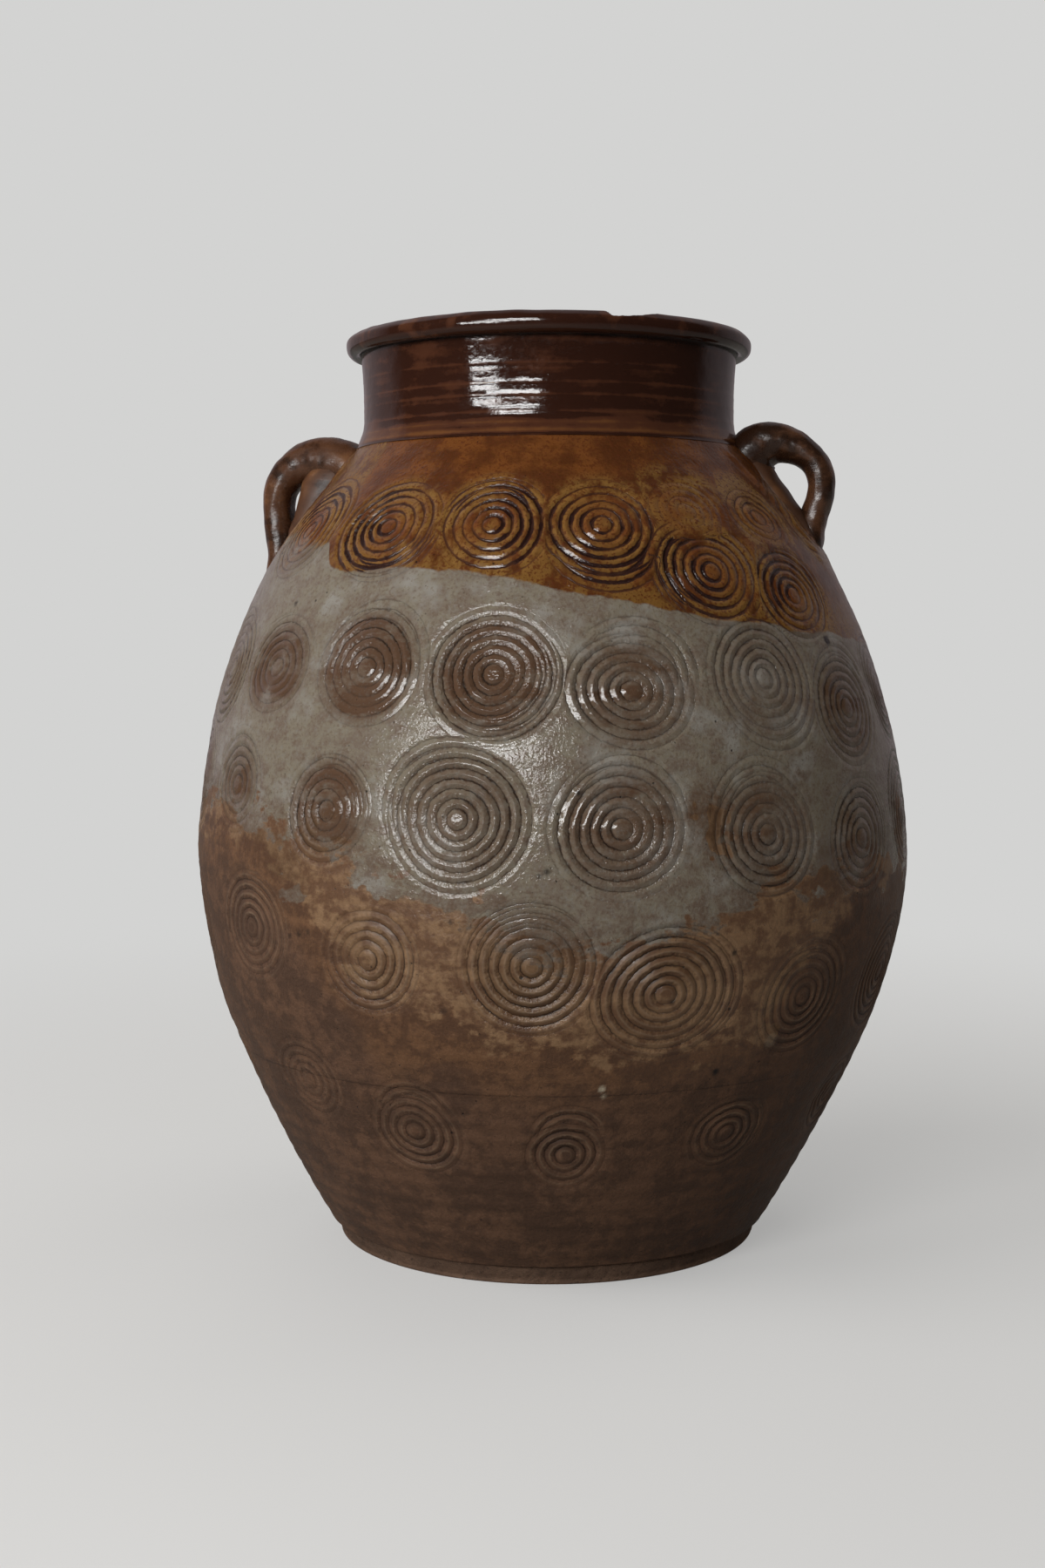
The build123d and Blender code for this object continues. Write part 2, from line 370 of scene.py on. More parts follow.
ASH_PATCHES = (
    Patch(-42.0, 206.0, 13.0, 8.0, 36.0), Patch(-27.0, 215.0, 15.0, 6.0, 22.0),
    Patch(-34.0, 224.0, 6.0, 5.0, 14.0), Patch(-20.0, 216.0, 5.0, 4.0, 12.0),
    Patch(-38.0, 256.0, 13.0, 15.0, -16.0), Patch(-50.0, 262.0, 9.0, 12.0, -14.0),
    Patch(-2.5, 207.0, 9.0, 12.0, 18.0), Patch(5.0, 214.0, 11.0, 8.0, 22.0),
    Patch(15.0, 201.0, 11.0, 7.0, 18.0), Patch(22.5, 246.0, 10.5, 13.0, -84.0),
    Patch(24.0, 229.0, 6.0, 7.0, -30.0), Patch(40.0, 268.0, 9.0, 7.0, -60.0),
    Patch(43.0, 220.0, 14.0, 11.0, -26.0), Patch(-10.0, 214.0, 8.0, 6.0, -22.0),
    Patch(70.0, 236.0, 9.0, 26.0, -60.0), Patch(61.0, 214.0, 9.0, 10.0, -24.0),
    Patch(118.0, 232.0, 14.0, 11.0, -34.0), Patch(165.0, 222.0, 18.0, 9.0, -30.0),
    Patch(205.0, 236.0, 12.0, 14.0, -32.0),
)
TAN_PATCHES = (
    Patch(32.0, 139.5, 14.0, 5.0, 30.0), Patch(35.5, 135.0, 7.0, 6.5, 36.0),
    Patch(24.0, 122.0, 16.0, 4.0, 16.0), Patch(-16.0, 155.0, 7.0, 5.0, -12.0),
    Patch(-8.0, 139.0, 8.0, 7.0, 10.0), Patch(-18.0, 168.0, 10.0, 5.0, -14.0),
    Patch(140.0, 138.0, 12.0, 8.0, 16.0), Patch(200.0, 150.0, 9.0, 10.0, 16.0),
)

# Where the tan and the ash fired brown: the lift is then a share of brown
BROWN_PATCHES = (
    Patch(-50.0, 217.0, 46.0, 26.0, 0.75), Patch(22.5, 246.0, 15.0, 17.0, 0.85),
    Patch(46.0, 220.0, 22.0, 16.0, 0.6), Patch(72.0, 230.0, 16.0, 22.0, 0.7),
    Patch(150.0, 205.0, 40.0, 16.0, 0.6),
)
FLECKS = (
    Fleck(53.5, 333.0, 2.7, 1.0), Fleck(26.5, 121.0, 1.8, 1.0), Fleck(7.5, 116.0, 1.6, -1.0),
    Fleck(7.9, 112.0, 1.1, -0.8), Fleck(36.0, 134.2, 3.8, -0.24), Fleck(-40.5, 188.0, 1.6, 0.7),
    Fleck(-38.5, 190.0, 1.3, 0.6), Fleck(-42.5, 186.5, 1.3, 0.6), Fleck(-1.5, 225.0, 1.5, 0.8),
    Fleck(-2.6, 223.0, 1.2, 0.7), Fleck(-15.0, 200.0, 1.3, 0.7), Fleck(-16.5, 156.0, 1.6, 0.5),
    Fleck(26.0, 183.0, 1.3, 0.9), Fleck(17.0, 160.0, 1.2, 0.8), Fleck(-52.0, 352.0, 1.4, 0.8),
    Fleck(3.0, 262.0, 1.3, 0.9), Fleck(118.0, 300.0, 2.2, 0.9), Fleck(165.0, 210.0, 2.4, 1.0),
    Fleck(214.0, 262.0, 1.9, 0.8), Fleck(246.0, 132.0, 2.1, 0.9), Fleck(186.0, 345.0, 2.0, -0.7),
)


@dataclass(frozen=True)
class StampRow:
    """One row of stamps, seen ones first, with as many again as fill the back."""

    seen: tuple[Strike, ...]
    unseen: int
    seed: int
    radius: float

    def strikes(self) -> list[Strike]:
        """Every stamp in the row: the seen, and those that a seeded hand adds behind.

        Returns:
            The stamps, seen ones first.
        """
        placed = sorted(self.seen, key=lambda strike: strike.azimuth)
        first, last = placed[0], placed[-1]
        gap = first.azimuth + 360.0 - last.azimuth
        draw = np.random.default_rng(self.seed)
        made = list(self.seen)
        for number in range(1, self.unseen + 1):
            share = number / (self.unseen + 1)
            level = last.height + (first.height - last.height) * share
            made.append(Strike(
                azimuth=last.azimuth + gap * share + draw.uniform(-1.5, 1.5),
                height=level + draw.uniform(-5.0, 5.0),
                radius=self.radius + draw.uniform(-3.0, 3.0),
                depth=draw.uniform(0.75, 1.15),
                tone=draw.uniform(0.3, 0.95),
                oval=draw.uniform(-0.03, 0.05),
                lean=draw.uniform(0.0, 360.0),
                slip=(draw.uniform(-4.0, 4.0), draw.uniform(-3.0, 7.0)),
                slip_hold=draw.uniform(0.2, 0.8),
            ))
        return made


SHOULDER_ROW = (
    Strike(-61.9, 391.3, 32.0, 0.9, 0.4, 0.02, 120, (3.0, 5.0), 0.5),
    Strike(-34.9, 390.7, 31.0, 1.1, 0.8, 0.02, 200, (2.0, -3.0), 0.5),
    Strike(-11.8, 390.9, 29.0, 1.1, 0.9, -0.01, 20, (-1.0, 3.5), 0.5),
    Strike(9.7, 390.8, 30.0, 1.1, 0.8, 0.01, 250, (1.0, -9.0), 0.8),
    Strike(29.8, 367.5, 31.0, 1.1, 0.7, 0.0, 180, (-4.0, 1.0), 0.5),
    Strike(49.7, 396.5, 20.0, 0.7, 0.4, 0.05, 90),
    Strike(48.6, 356.4, 28.0, 1.0, 0.7, 0.03, 140, (3.0, 2.0), 0.4),
    Strike(29.0, 398.0, 25.0, 0.28, 0.3, 0.0, 60, (-6.0, 3.0), 0.3),
)
UPPER_ROW = (
    Strike(-51.7, 319.7, 28.0, 0.8, 0.9, 0.02, 100, (2.0, 4.0), 0.4),
    Strike(-30.9, 320.6, 31.0, 1.0, 1.0, 0.0, 60, (4.0, 5.0), 0.7),
    Strike(-9.4, 317.7, 33.0, 1.2, 0.85, 0.0, 200, (3.0, -2.0), 0.7),
    Strike(11.6, 309.9, 31.0, 1.0, 0.55, 0.04, 190, (3.0, 9.0), 0.7),
    Strike(35.1, 314.9, 33.0, 0.9, 0.25, -0.02, 80, (2.0, -6.0), 0.6),
    Strike(54.1, 298.8, 30.0, 0.9, 0.6, 0.0, 170, (1.0, 8.0), 0.5),
)
BELLY_ROW = (
    Strike(-57.5, 259.2, 24.0, 0.8, 0.7, 0.0, 90, (0.0, 6.0), 0.5),
    Strike(-35.2, 250.7, 27.0, 0.9, 0.95, 0.0, 180, (2.0, 2.0), 0.5),
    Strike(-14.1, 248.9, 36.0, 1.2, 0.35, 0.0, 30, (-3.0, 5.0), 0.5),
    Strike(9.0, 244.8, 33.0, 1.1, 0.6, 0.02, 190, (2.0, 5.0), 0.5),
    Strike(31.6, 239.6, 31.0, 1.0, 0.5, 0.0, 240, (-2.0, 8.0), 0.5),
    Strike(52.7, 232.9, 29.0, 1.0, 0.6, 0.0, 150, (2.0, 2.0), 0.4),
)
LOWER_ROW = (
    Strike(-52.2, 187.0, 29.0, 0.6, 0.6, 0.0, 70, (3.0, 2.0), 0.5),
    Strike(-28.1, 178.5, 27.0, 0.8, 0.4, 0.0, 330, (3.0, -1.0), 0.4),
    Strike(-3.6, 178.5, 33.0, 1.0, 0.6, 0.02, 260, (-1.0, 2.0), 0.5),
    Strike(15.9, 163.8, 36.0, 1.0, 0.4, 0.05, 120, (4.0, 1.0), 0.6),
    Strike(40.9, 155.4, 30.0, 0.8, 0.6, 0.0, 300, (3.0, 3.0), 0.5),
)
FOOT_ROW = (
    Strike(-45.9, 108.3, 25.0, 0.35, 0.2, 0.0, 60),
    Strike(-24.6, 88.3, 24.0, 0.7, 0.3, 0.0, 300, (2.0, 7.0), 0.6),
    Strike(2.3, 78.6, 19.0, 0.9, 0.4, 0.0, 90, (1.0, 11.0), 0.8),
    Strike(32.9, 84.1, 22.0, 0.8, 0.3, 0.04, 60, (3.0, 1.0), 0.5),
)
STAMP_ROWS = (
    StampRow(SHOULDER_ROW, 9, 11, 29.5), StampRow(UPPER_ROW, 11, 12, 31.0),
    StampRow(BELLY_ROW, 11, 13, 31.0), StampRow(LOWER_ROW, 10, 14, 31.0),
    StampRow(FOOT_ROW, 8, 15, 23.0),
)


def read(items: Any, what: str, width: int, kind: type = float) -> Array:
    """One property of every item in a mesh, a row for each.

    Args:
        items: The mesh's vertices, faces or face corners.
        what: The property's name.
        width: How many values a row holds.
        kind: The values' type.

    Returns:
        The values.
    """
    values = np.empty(len(items) * width, kind)
    items.foreach_get(what, values)
    return values.reshape(-1, width)


class BodyForm:
    """The turned form of the jar's body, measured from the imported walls."""

    WALLS = ("foot_wall", "lower_belly_wall", "upper_belly_wall", "shoulder_wall")
    # A face whose normal points up or down by more than this is a seam's, not a side's
    SEAM_TILT = 0.7
    LEAST_RISE = 0.05
    SAMPLES = 2000
    HEIGHT = 500.0
    # How far the axis strays towards -X, by height: the body was luted a little off true
    LEAN = SmoothLine(
        np.array([0.0, 60.0, 217.0, 330.0, 437.0, HEIGHT]),
        np.array([-2.9, -2.2, 0.0, -1.4, -2.1, -2.1]),
    )

    def __init__(self, nodes: dict[str, Piece]) -> None:
        """Measure the walls.

        Args:
            nodes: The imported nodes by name.
        """
        self.outside_of = {}
        self.inside_of = {}
        for name in self.WALLS:
            self.outside_of[name], self.inside_of[name] = self._sides(nodes[name])
        points = np.unique(np.concatenate([*self.outside_of.values()]), axis=0)
        keep = np.concatenate([[True], np.diff(points[:, 0]) > self.LEAST_RISE])
        self.outer = SmoothLine(points[keep, 0], points[keep, 1])
        self.widest = max(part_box(name)[1].x for name in self.WALLS) / MM
        heights = np.linspace(self.outer.places[0], self.outer.places[-1], self.SAMPLES)
        profile = np.stack([heights, self.outer.at(heights)], axis=1)
        self.length = SmoothLine(heights, along_path(profile))

    def _sides(self, node: Piece) -> tuple[Array, Array]:
        """The height and radius pairs on a wall's outer and inner side.

        Args:
            node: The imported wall.

        Returns:
            The pairs of the outer side and of the inner side, each from low to high.
        """
        places = read(node.data.vertices, "co", 3) / MM
        normals = read(node.data.polygons, "normal", 3)
        corners = read(node.data.loops, "vertex_index", 1, int).reshape(-1, 3)
        middle = places[corners].mean(axis=1)
        outward = np.einsum("ij,ij->i", normals[:, :2], middle[:, :2])
        out_faces = (outward > 0) & (normals[:, 2] > -self.SEAM_TILT)
        in_faces = (outward < 0) & (normals[:, 2] < self.SEAM_TILT)
        pairs = np.stack([places[:, 2], np.hypot(places[:, 0], places[:, 1])], axis=1).round(3)
        outside = np.unique(pairs[np.unique(corners[out_faces])], axis=0)
        inside = np.unique(pairs[np.unique(corners[in_faces])], axis=0)
        known = set(map(tuple, outside))
        return outside, inside[[tuple(pair) not in known for pair in inside]]

    def normal(self, height: Array) -> tuple[Array, Array]:
        """The outward normal at each height, as its radial and upright parts."""
        slope = self.outer.slope(height)
        size = np.sqrt(1.0 + slope**2)
        return 1.0 / size, -slope / size

    def point(self, azimuth: float, height: float) -> Array:
        """A place on the outside, before the axis strays."""
        radius = float(self.outer.at(height))
        turn = math.radians(azimuth)
        return np.array([radius * math.sin(turn), -radius * math.cos(turn), height])


def stray(places: Array) -> Array:
    """The places moved with the jar's slightly crooked axis."""
    moved = places.copy()
    moved[:, 0] += BodyForm.LEAN.at(np.clip(places[:, 2], 0.0, BodyForm.HEIGHT))
    return moved


def polar(places: Array) -> tuple[Array, Array]:
    """Each place's radius and azimuth."""
    radius = np.hypot(places[:, 0], places[:, 1])
    return radius, np.degrees(np.arctan2(places[:, 0], -places[:, 1]))


def turned_mesh(name: str, outline: Array) -> bpy.types.Mesh:
    """Spin a closed outline once round the axis, as equal sectors that are then merged.

    Args:
        name: The mesh's name.
        outline: Radius and height pairs in millimetres, in order, not repeated at the end.

    Returns:
        A closed mesh in millimetres, with its faces pointing outwards.
    """
    shape = bmesh.new()
    corners = [shape.verts.new((0.0, -radius, height)) for radius, height in outline]
    edges = [shape.edges.new((a, b)) for a, b in zip(corners, corners[1:] + corners[:1])]
    stations = STATIONS
    bmesh.ops.spin(
        shape, geom=corners + edges, cent=(0, 0, 0), axis=(0, 0, 1), angle=math.tau / SECTORS,
        steps=stations // SECTORS,
    )
    sector = shape.verts[:] + shape.edges[:] + shape.faces[:]
    for number in range(1, SECTORS):
        copied = bmesh.ops.duplicate(shape, geom=sector)["geom"]
        turn = Matrix.Rotation(math.tau * number / SECTORS, 3, "Z")
        moved = [item for item in copied if isinstance(item, bmesh.types.BMVert)]
        bmesh.ops.rotate(shape, cent=(0, 0, 0), matrix=turn, verts=moved)
    bmesh.ops.remove_doubles(shape, verts=shape.verts, dist=MERGE_DISTANCE)
    bmesh.ops.recalc_face_normals(shape, faces=shape.faces)
    mesh = bpy.data.meshes.new(name)
    shape.to_mesh(mesh)
    shape.free()
    return mesh


def finish_piece(
    name: str,
    mesh: bpy.types.Mesh,
    places: Array,
    material: Material,
    nodes: tuple[str, ...],
) -> None:
    """Write a mesh's final places in metres, dress it and seat it on the jar.

    Args:
        name: The piece's name.
        mesh: Its mesh.
        places: Its vertices in millimetres.
        material: Its finish.
        nodes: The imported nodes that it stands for.
    """
    mesh.vertices.foreach_set("co", (stray(places) * MM).astype(np.float32).ravel())
    mesh.polygons.foreach_set("use_smooth", np.ones(len(mesh.polygons), bool))
    mesh.update()
    mesh.set_sharp_from_angle(angle=math.radians(CREASE_ANGLE))
    mesh.materials.append(material)
    piece = bpy.data.objects.new(name, mesh)
    bpy.context.scene.collection.objects.link(piece)
    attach(piece, BODY)
    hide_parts(*nodes)
    LOG.info("%s: %d faces", name, len(mesh.polygons))


def store(mesh: bpy.types.Mesh, fields: dict[Field, Array]) -> None:
    """Keep one value for each vertex under each field's name."""
    for what, values in fields.items():
        layer = mesh.attributes.new(what.value, "FLOAT", "POINT")
        layer.data.foreach_set("value", values.astype(np.float32))


@dataclass
class StampPress:
    """Works out, for places on the body, how the stamps lie and how deep they bit.

    The two ends of a soft step are millimetres past a stamp's radius where the name ends in past,
    millimetres from its centre in radii, and shares of its radius, or of a ring, in shares.
    """

    form: BodyForm
    reach: float = 52.0
    wobbles: tuple[float, float] = (0.45, 0.3)
    wobble_radii: tuple[float, float] = (4.0, 20.0)
    bite: float = 0.8
    tilt: float = 0.3
    hold_past: tuple[float, float] = (6.0, -6.0)
    brown_past: tuple[float, float] = (3.0, -13.0)
    meeting_share: float = 0.07
    slip_past: tuple[float, float] = (4.0, -3.0)
    slip_shares: tuple[float, float] = (0.45, 0.7)
    slip_arc: tuple[float, float] = (-0.1, 0.8)
    slip_turn: float = 0.2
    ring_depths: tuple[float, float] = (0.55, 0.45)
    ring_power: float = 1.4
    boss_shares: tuple[float, float] = (-0.9, -0.55)
    dish_depth: float = 0.45
    dish_radii: tuple[float, float] = (38.0, 18.0)
    dish_hold: float = 1.5
    strikes: list[Strike] = field(default_factory=list)

    def __post_init__(self) -> None:
        """Gather every row's stamps."""
        for row in STAMP_ROWS:
            self.strikes += row.strikes()

    def _on_die(
        self, strike: Strike, places: Array, slip: tuple[float, float]
    ) -> tuple[Array, Array]:
        """Each place's distance from a stamp's centre and its bearing, on the die's face.

        Args:
            strike: The stamp.
            places: Places in millimetres, one row each.
            slip: How far the die had slipped, across and up.

        Returns:
            The distances and the bearings.
        """
        turn = math.radians(strike.azimuth)
        across = np.array([math.cos(turn), math.sin(turn), 0.0])
        radial, upright = self.form.normal(np.array([strike.height]))
        up = np.array([-math.sin(turn) * upright[0], math.cos(turn) * upright[0], radial[0]])
        offset = places - self.form.point(strike.azimuth, strike.height)
        u = offset @ across - slip[0]
        v = offset @ up - slip[1]
        bearing = np.arctan2(v, u)
        wander = self.wobbles[0] * np.sin(2 * bearing + strike.azimuth)
        wander += self.wobbles[1] * np.sin(3 * bearing + strike.height)
        distance = np.hypot(u * (1 - strike.oval), v * (1 + strike.oval))
        return distance + wander * smooth(*self.wobble_radii, distance), bearing

    def press(self, places: Array) -> dict[Field, Array]:
        """What the finish and the relief need to know at each place.

        Args:
            places: Places on the outside, in millimetres.

        Returns:
            Distances and holds for first and second presses, and the tone.
        """
        found = {what: np.zeros(len(places)) for what in (Field.HOLD, Field.REHOLD, Field.TONE)}
        for what in (Field.STRIKE, Field.RESTRIKE):
            found[what] = np.full(len(places), NO_STAMP)
        best = np.full(len(places), NO_STAMP)
        for number, strike in enumerate(self.strikes):
            centre = self.form.point(strike.azimuth, strike.height)
            near = np.flatnonzero(np.linalg.norm(places - centre, axis=1) < self.reach)
            if not len(near):
                continue
            distance, bearing = self._on_die(strike, places[near], (0.0, 0.0))
            past = distance - strike.radius
            bite = self.bite + self.tilt * np.cos(bearing - math.radians(strike.lean))
            hold = smooth(*self.hold_past, past) * bite * strike.depth
            tone = strike.tone * smooth(*self.brown_past, past)
            # Where two stamps meet, the nearer one is kept, and both fade at their shared edge
            rank = distance / strike.radius
            wins = rank < best[near]
            meet = smooth(0.0, self.meeting_share, np.abs(rank - best[near]))
            chosen = near[wins]
            found[Field.HOLD][near] *= np.where(wins, 1.0, meet)
            found[Field.STRIKE][chosen] = distance[wins]
            found[Field.HOLD][chosen] = (hold * meet)[wins]
            found[Field.TONE][near] = np.maximum(found[Field.TONE][near], tone)
            best[near] = np.minimum(best[near], rank)
            if strike.slip_hold > 0.0:
                self._restrike(strike, number, places, near, found)
        return found

    def _restrike(
        self, strike: Strike, number: int, places: Array, near: Array, found: dict[Field, Array]
    ) -> None:
        """Add the arcs of a second, slipped press on the side that it slipped towards.

        Args:
            strike: The stamp.
            number: Its place among all the stamps.
            places: Places in millimetres, one row each.
            near: Which places lie near it.
            found: The fields, added to in place.
        """
        distance, bearing = self._on_die(strike, places[near], strike.slip)
        side = math.atan2(strike.slip[1], strike.slip[0]) - self.slip_turn * math.sin(number)
        hold = smooth(*self.slip_past, distance - strike.radius)
        hold *= smooth(*self.slip_shares, distance / strike.radius)
        hold *= smooth(*self.slip_arc, np.cos(bearing - side)) * strike.slip_hold * strike.depth
        wins = hold > found[Field.REHOLD][near]
        found[Field.RESTRIKE][near[wins]] = distance[wins]
        found[Field.REHOLD][near[wins]] = hold[wins]

    def relief(self, found: dict[Field, Array]) -> Array:
        """How far the stamps move the clay, in millimetres, sinking where negative.

        Args:
            found: The fields that press gives.

        Returns:
            The lift at each place, in millimetres.
        """
        pressed = np.clip(found[Field.HOLD] * self.dish_hold, 0.0, 1.0)
        total = -self.dish_depth * smooth(*self.dish_radii, found[Field.STRIKE]) * pressed
        presses = ((Field.STRIKE, Field.HOLD), (Field.RESTRIKE, Field.REHOLD))
        for (distance, hold), depth in zip(presses, self.ring_depths):
            phase = (found[distance] - BOSS_RADIUS) / RING_PITCH
            groove = (0.5 + 0.5 * np.cos(math.tau * phase)) ** self.ring_power
            total -= depth * groove * smooth(*self.boss_shares, phase) * found[hold]
        return total


@dataclass
class BodyWall:
    """One thrown stage of the body."""

    name: str
    slot: Slot
    form: BodyForm
    press: StampPress
    inside_rings: int = 10
    faces_at_most: int = 99000
    profile_samples: int = 400
    settle: float = 0.5
    skin: float = 1.0
    clearance: float = 0.02
    out_of_round: float = 0.25
    oval_azimuth: float = 20.0
    oval_rise: float = 90.0
    wheel_pitch: float = 9.5
    wheel_climb: float = 0.0174
    wheel_depth: float = 0.07
    wheel_depth_low: float = 0.09
    wheel_low_levels: tuple[float, float] = (150.0, 60.0)
    fine_pitch: float = 3.1
    fine_depth: float = 0.025
    fleck_edge: float = 0.8
    smeared_share: float = 0.88
    smeared_from: tuple[float, float] = (-49.0, -54.0)
    smeared_to: tuple[float, float] = (-140.0, -120.0)

    # How strongly the runs sway each glaze's edge
    SWAY_SHARES = {Field.AMBER: 0.22, Field.ASH: 1.4, Field.TAN: 1.0, Field.RUST: 1.2}
    LUMPS = (Swell(0.22, 75.0, 1), Swell(0.09, 21.0, 2), Swell(0.035, 7.0, 3))
    WHEEL_WANDER = Swell(1.5, 150.0, 4)
    FINE_WANDER = Swell(2.0, 60.0, 5)
    RUNS = (Swell(4.0, 34.0, 21, 0.55), Swell(1.6, 13.0, 22))
    SIDEWAYS = (Swell(1.9, 15.0, 23), Swell(0.9, 5.0, 24))
    UPWARDS = (Swell(3.4, 11.0, 25), Swell(1.6, 4.5, 26))

    def outline(self) -> Array:
        """The closed outline: up the outside, down the inside.

        Returns:
            Radius and height pairs in millimetres, in order.
        """
        outside = self.form.outside_of[self.name]
        inside = self.form.inside_of[self.name]
        count = self.faces_at_most // STATIONS - self.inside_rings
        heights = np.linspace(outside[0, 0], outside[-1, 0], self.profile_samples)
        lengths = self.form.length.at(heights)
        even = np.interp(np.linspace(lengths[0], lengths[-1], count), lengths, heights)
        down = np.linspace(inside[-1, 0], inside[0, 0], self.inside_rings)
        return np.concatenate([
            np.stack([self.form.outer.at(even), even], axis=1),
            np.stack([np.interp(down, inside[:, 0], inside[:, 1]), down], axis=1),
        ])

    def wander(self, places: Array, azimuth: Array) -> Array:
        """How the thrown surface strays from true, in millimetres, never outwards by much.

        Args:
            places: Places in millimetres, one row each.
            azimuth: The azimuth of each place.

        Returns:
            The lift at each place, in millimetres.
        """
        height = places[:, 2]
        oval = np.cos(2 * np.radians(azimuth + self.oval_azimuth)) * np.sin(height / self.oval_rise)
        wheel = np.cos(math.tau * height / self.wheel_pitch + azimuth * self.wheel_climb
                       + swelled(places, self.WHEEL_WANDER))
        fine = np.cos(math.tau * height / self.fine_pitch + swelled(places, self.FINE_WANDER))
        # The wheel lines stand out most on the unstamped clay near the foot
        depth = self.wheel_depth + self.wheel_depth_low * smooth(*self.wheel_low_levels, height)
        marks = depth * wheel + self.fine_depth * fine + self.out_of_round * oval
        radius = self.form.outer.at(height)
        smears = sum(smear.amount(azimuth, height, radius) for smear in LUG_SMEARS)
        return swelled(places, *self.LUMPS) + marks + smears - self.settle

    def flecked(self, places: Array) -> Array:
        """How dark or pale the listed flecks make each place.

        Args:
            places: Places in millimetres, one row each.

        Returns:
            Above 0 where dark, and below 0 where pale.
        """
        total = np.zeros(len(places))
        for fleck in FLECKS:
            gap = np.linalg.norm(places - self.form.point(fleck.azimuth, fleck.height), axis=1)
            total += fleck.strength * smooth(self.fleck_edge, -self.fleck_edge, gap - fleck.radius)
        return total

    def tides(self, places: Array, azimuth: Array) -> dict[Field, Array]:
        """How far each place lies above each glaze's edge, in millimetres, and how brown it is.

        Args:
            places: Places in millimetres, one row each.
            azimuth: The azimuth of each place.

        Returns:
            A field for each glaze's edge, and the brown as the stamps' tone.
        """
        height = places[:, 2]
        radius, _ = polar(places)
        run = swelled(places, *self.RUNS)
        side = azimuth + swelled(places, *self.SIDEWAYS)
        level = height + swelled(places, *self.UPWARDS)
        # The dip's edge is crisp in front, and smeared out to the left of the front
        smeared = smooth(*self.smeared_from, azimuth) * smooth(*self.smeared_to, azimuth)
        tides = {}
        for what, line, patches in (
            (Field.AMBER, AMBER_LINE, ()), (Field.ASH, ASH_LINE, ASH_PATCHES),
            (Field.TAN, TAN_LINE, TAN_PATCHES), (Field.RUST, RUST_LINE, ()),
        ):
            above = height - line.height(azimuth)
            if what is Field.AMBER:
                above *= 1.0 - self.smeared_share * smeared
            patched = sum(patch.amount(side, level, radius) for patch in patches)
            tides[what] = above + self.SWAY_SHARES[what] * run + patched
        brown = [patch.amount(side, level, radius) for patch in BROWN_PATCHES]
        return {**tides, Field.TONE: np.maximum.reduce(brown)}

    def build(self, material: Material) -> None:
        """Make the wall.

        Args:
            material: The body's finish.
        """
        mesh = turned_mesh(self.name + "_body", self.outline())
        places = read(mesh.vertices, "co", 3)
        radius, azimuth = polar(places)
        outside = radius > self.form.outer.at(places[:, 2]) - self.skin
        found = {what: np.zeros(len(places)) for what in BODY_FIELDS}
        for what in (Field.STRIKE, Field.RESTRIKE):
            found[what] += NO_STAMP
        for what, values in self.press.press(places[outside]).items():
            found[what][outside] = values
        stamped = found[Field.TONE]
        found.update(self.tides(places, azimuth))
        found[Field.TONE] = np.maximum(found[Field.TONE], stamped)
        found[Field.INSIDE] = 1.0 - outside
        found[Field.MARK] = self.flecked(places)
        lift = (self.wander(places, azimuth) + self.press.relief(found)) * outside
        radial, upright = self.form.normal(places[:, 2])
        out = np.minimum(radius + lift * radial, self.form.widest - self.clearance)
        places[:, :2] *= (out / radius)[:, None]
        places[:, 2] += lift * upright
        store(mesh, found)
        finish_piece(self.name + "_clay", mesh, places, material, (self.name,))


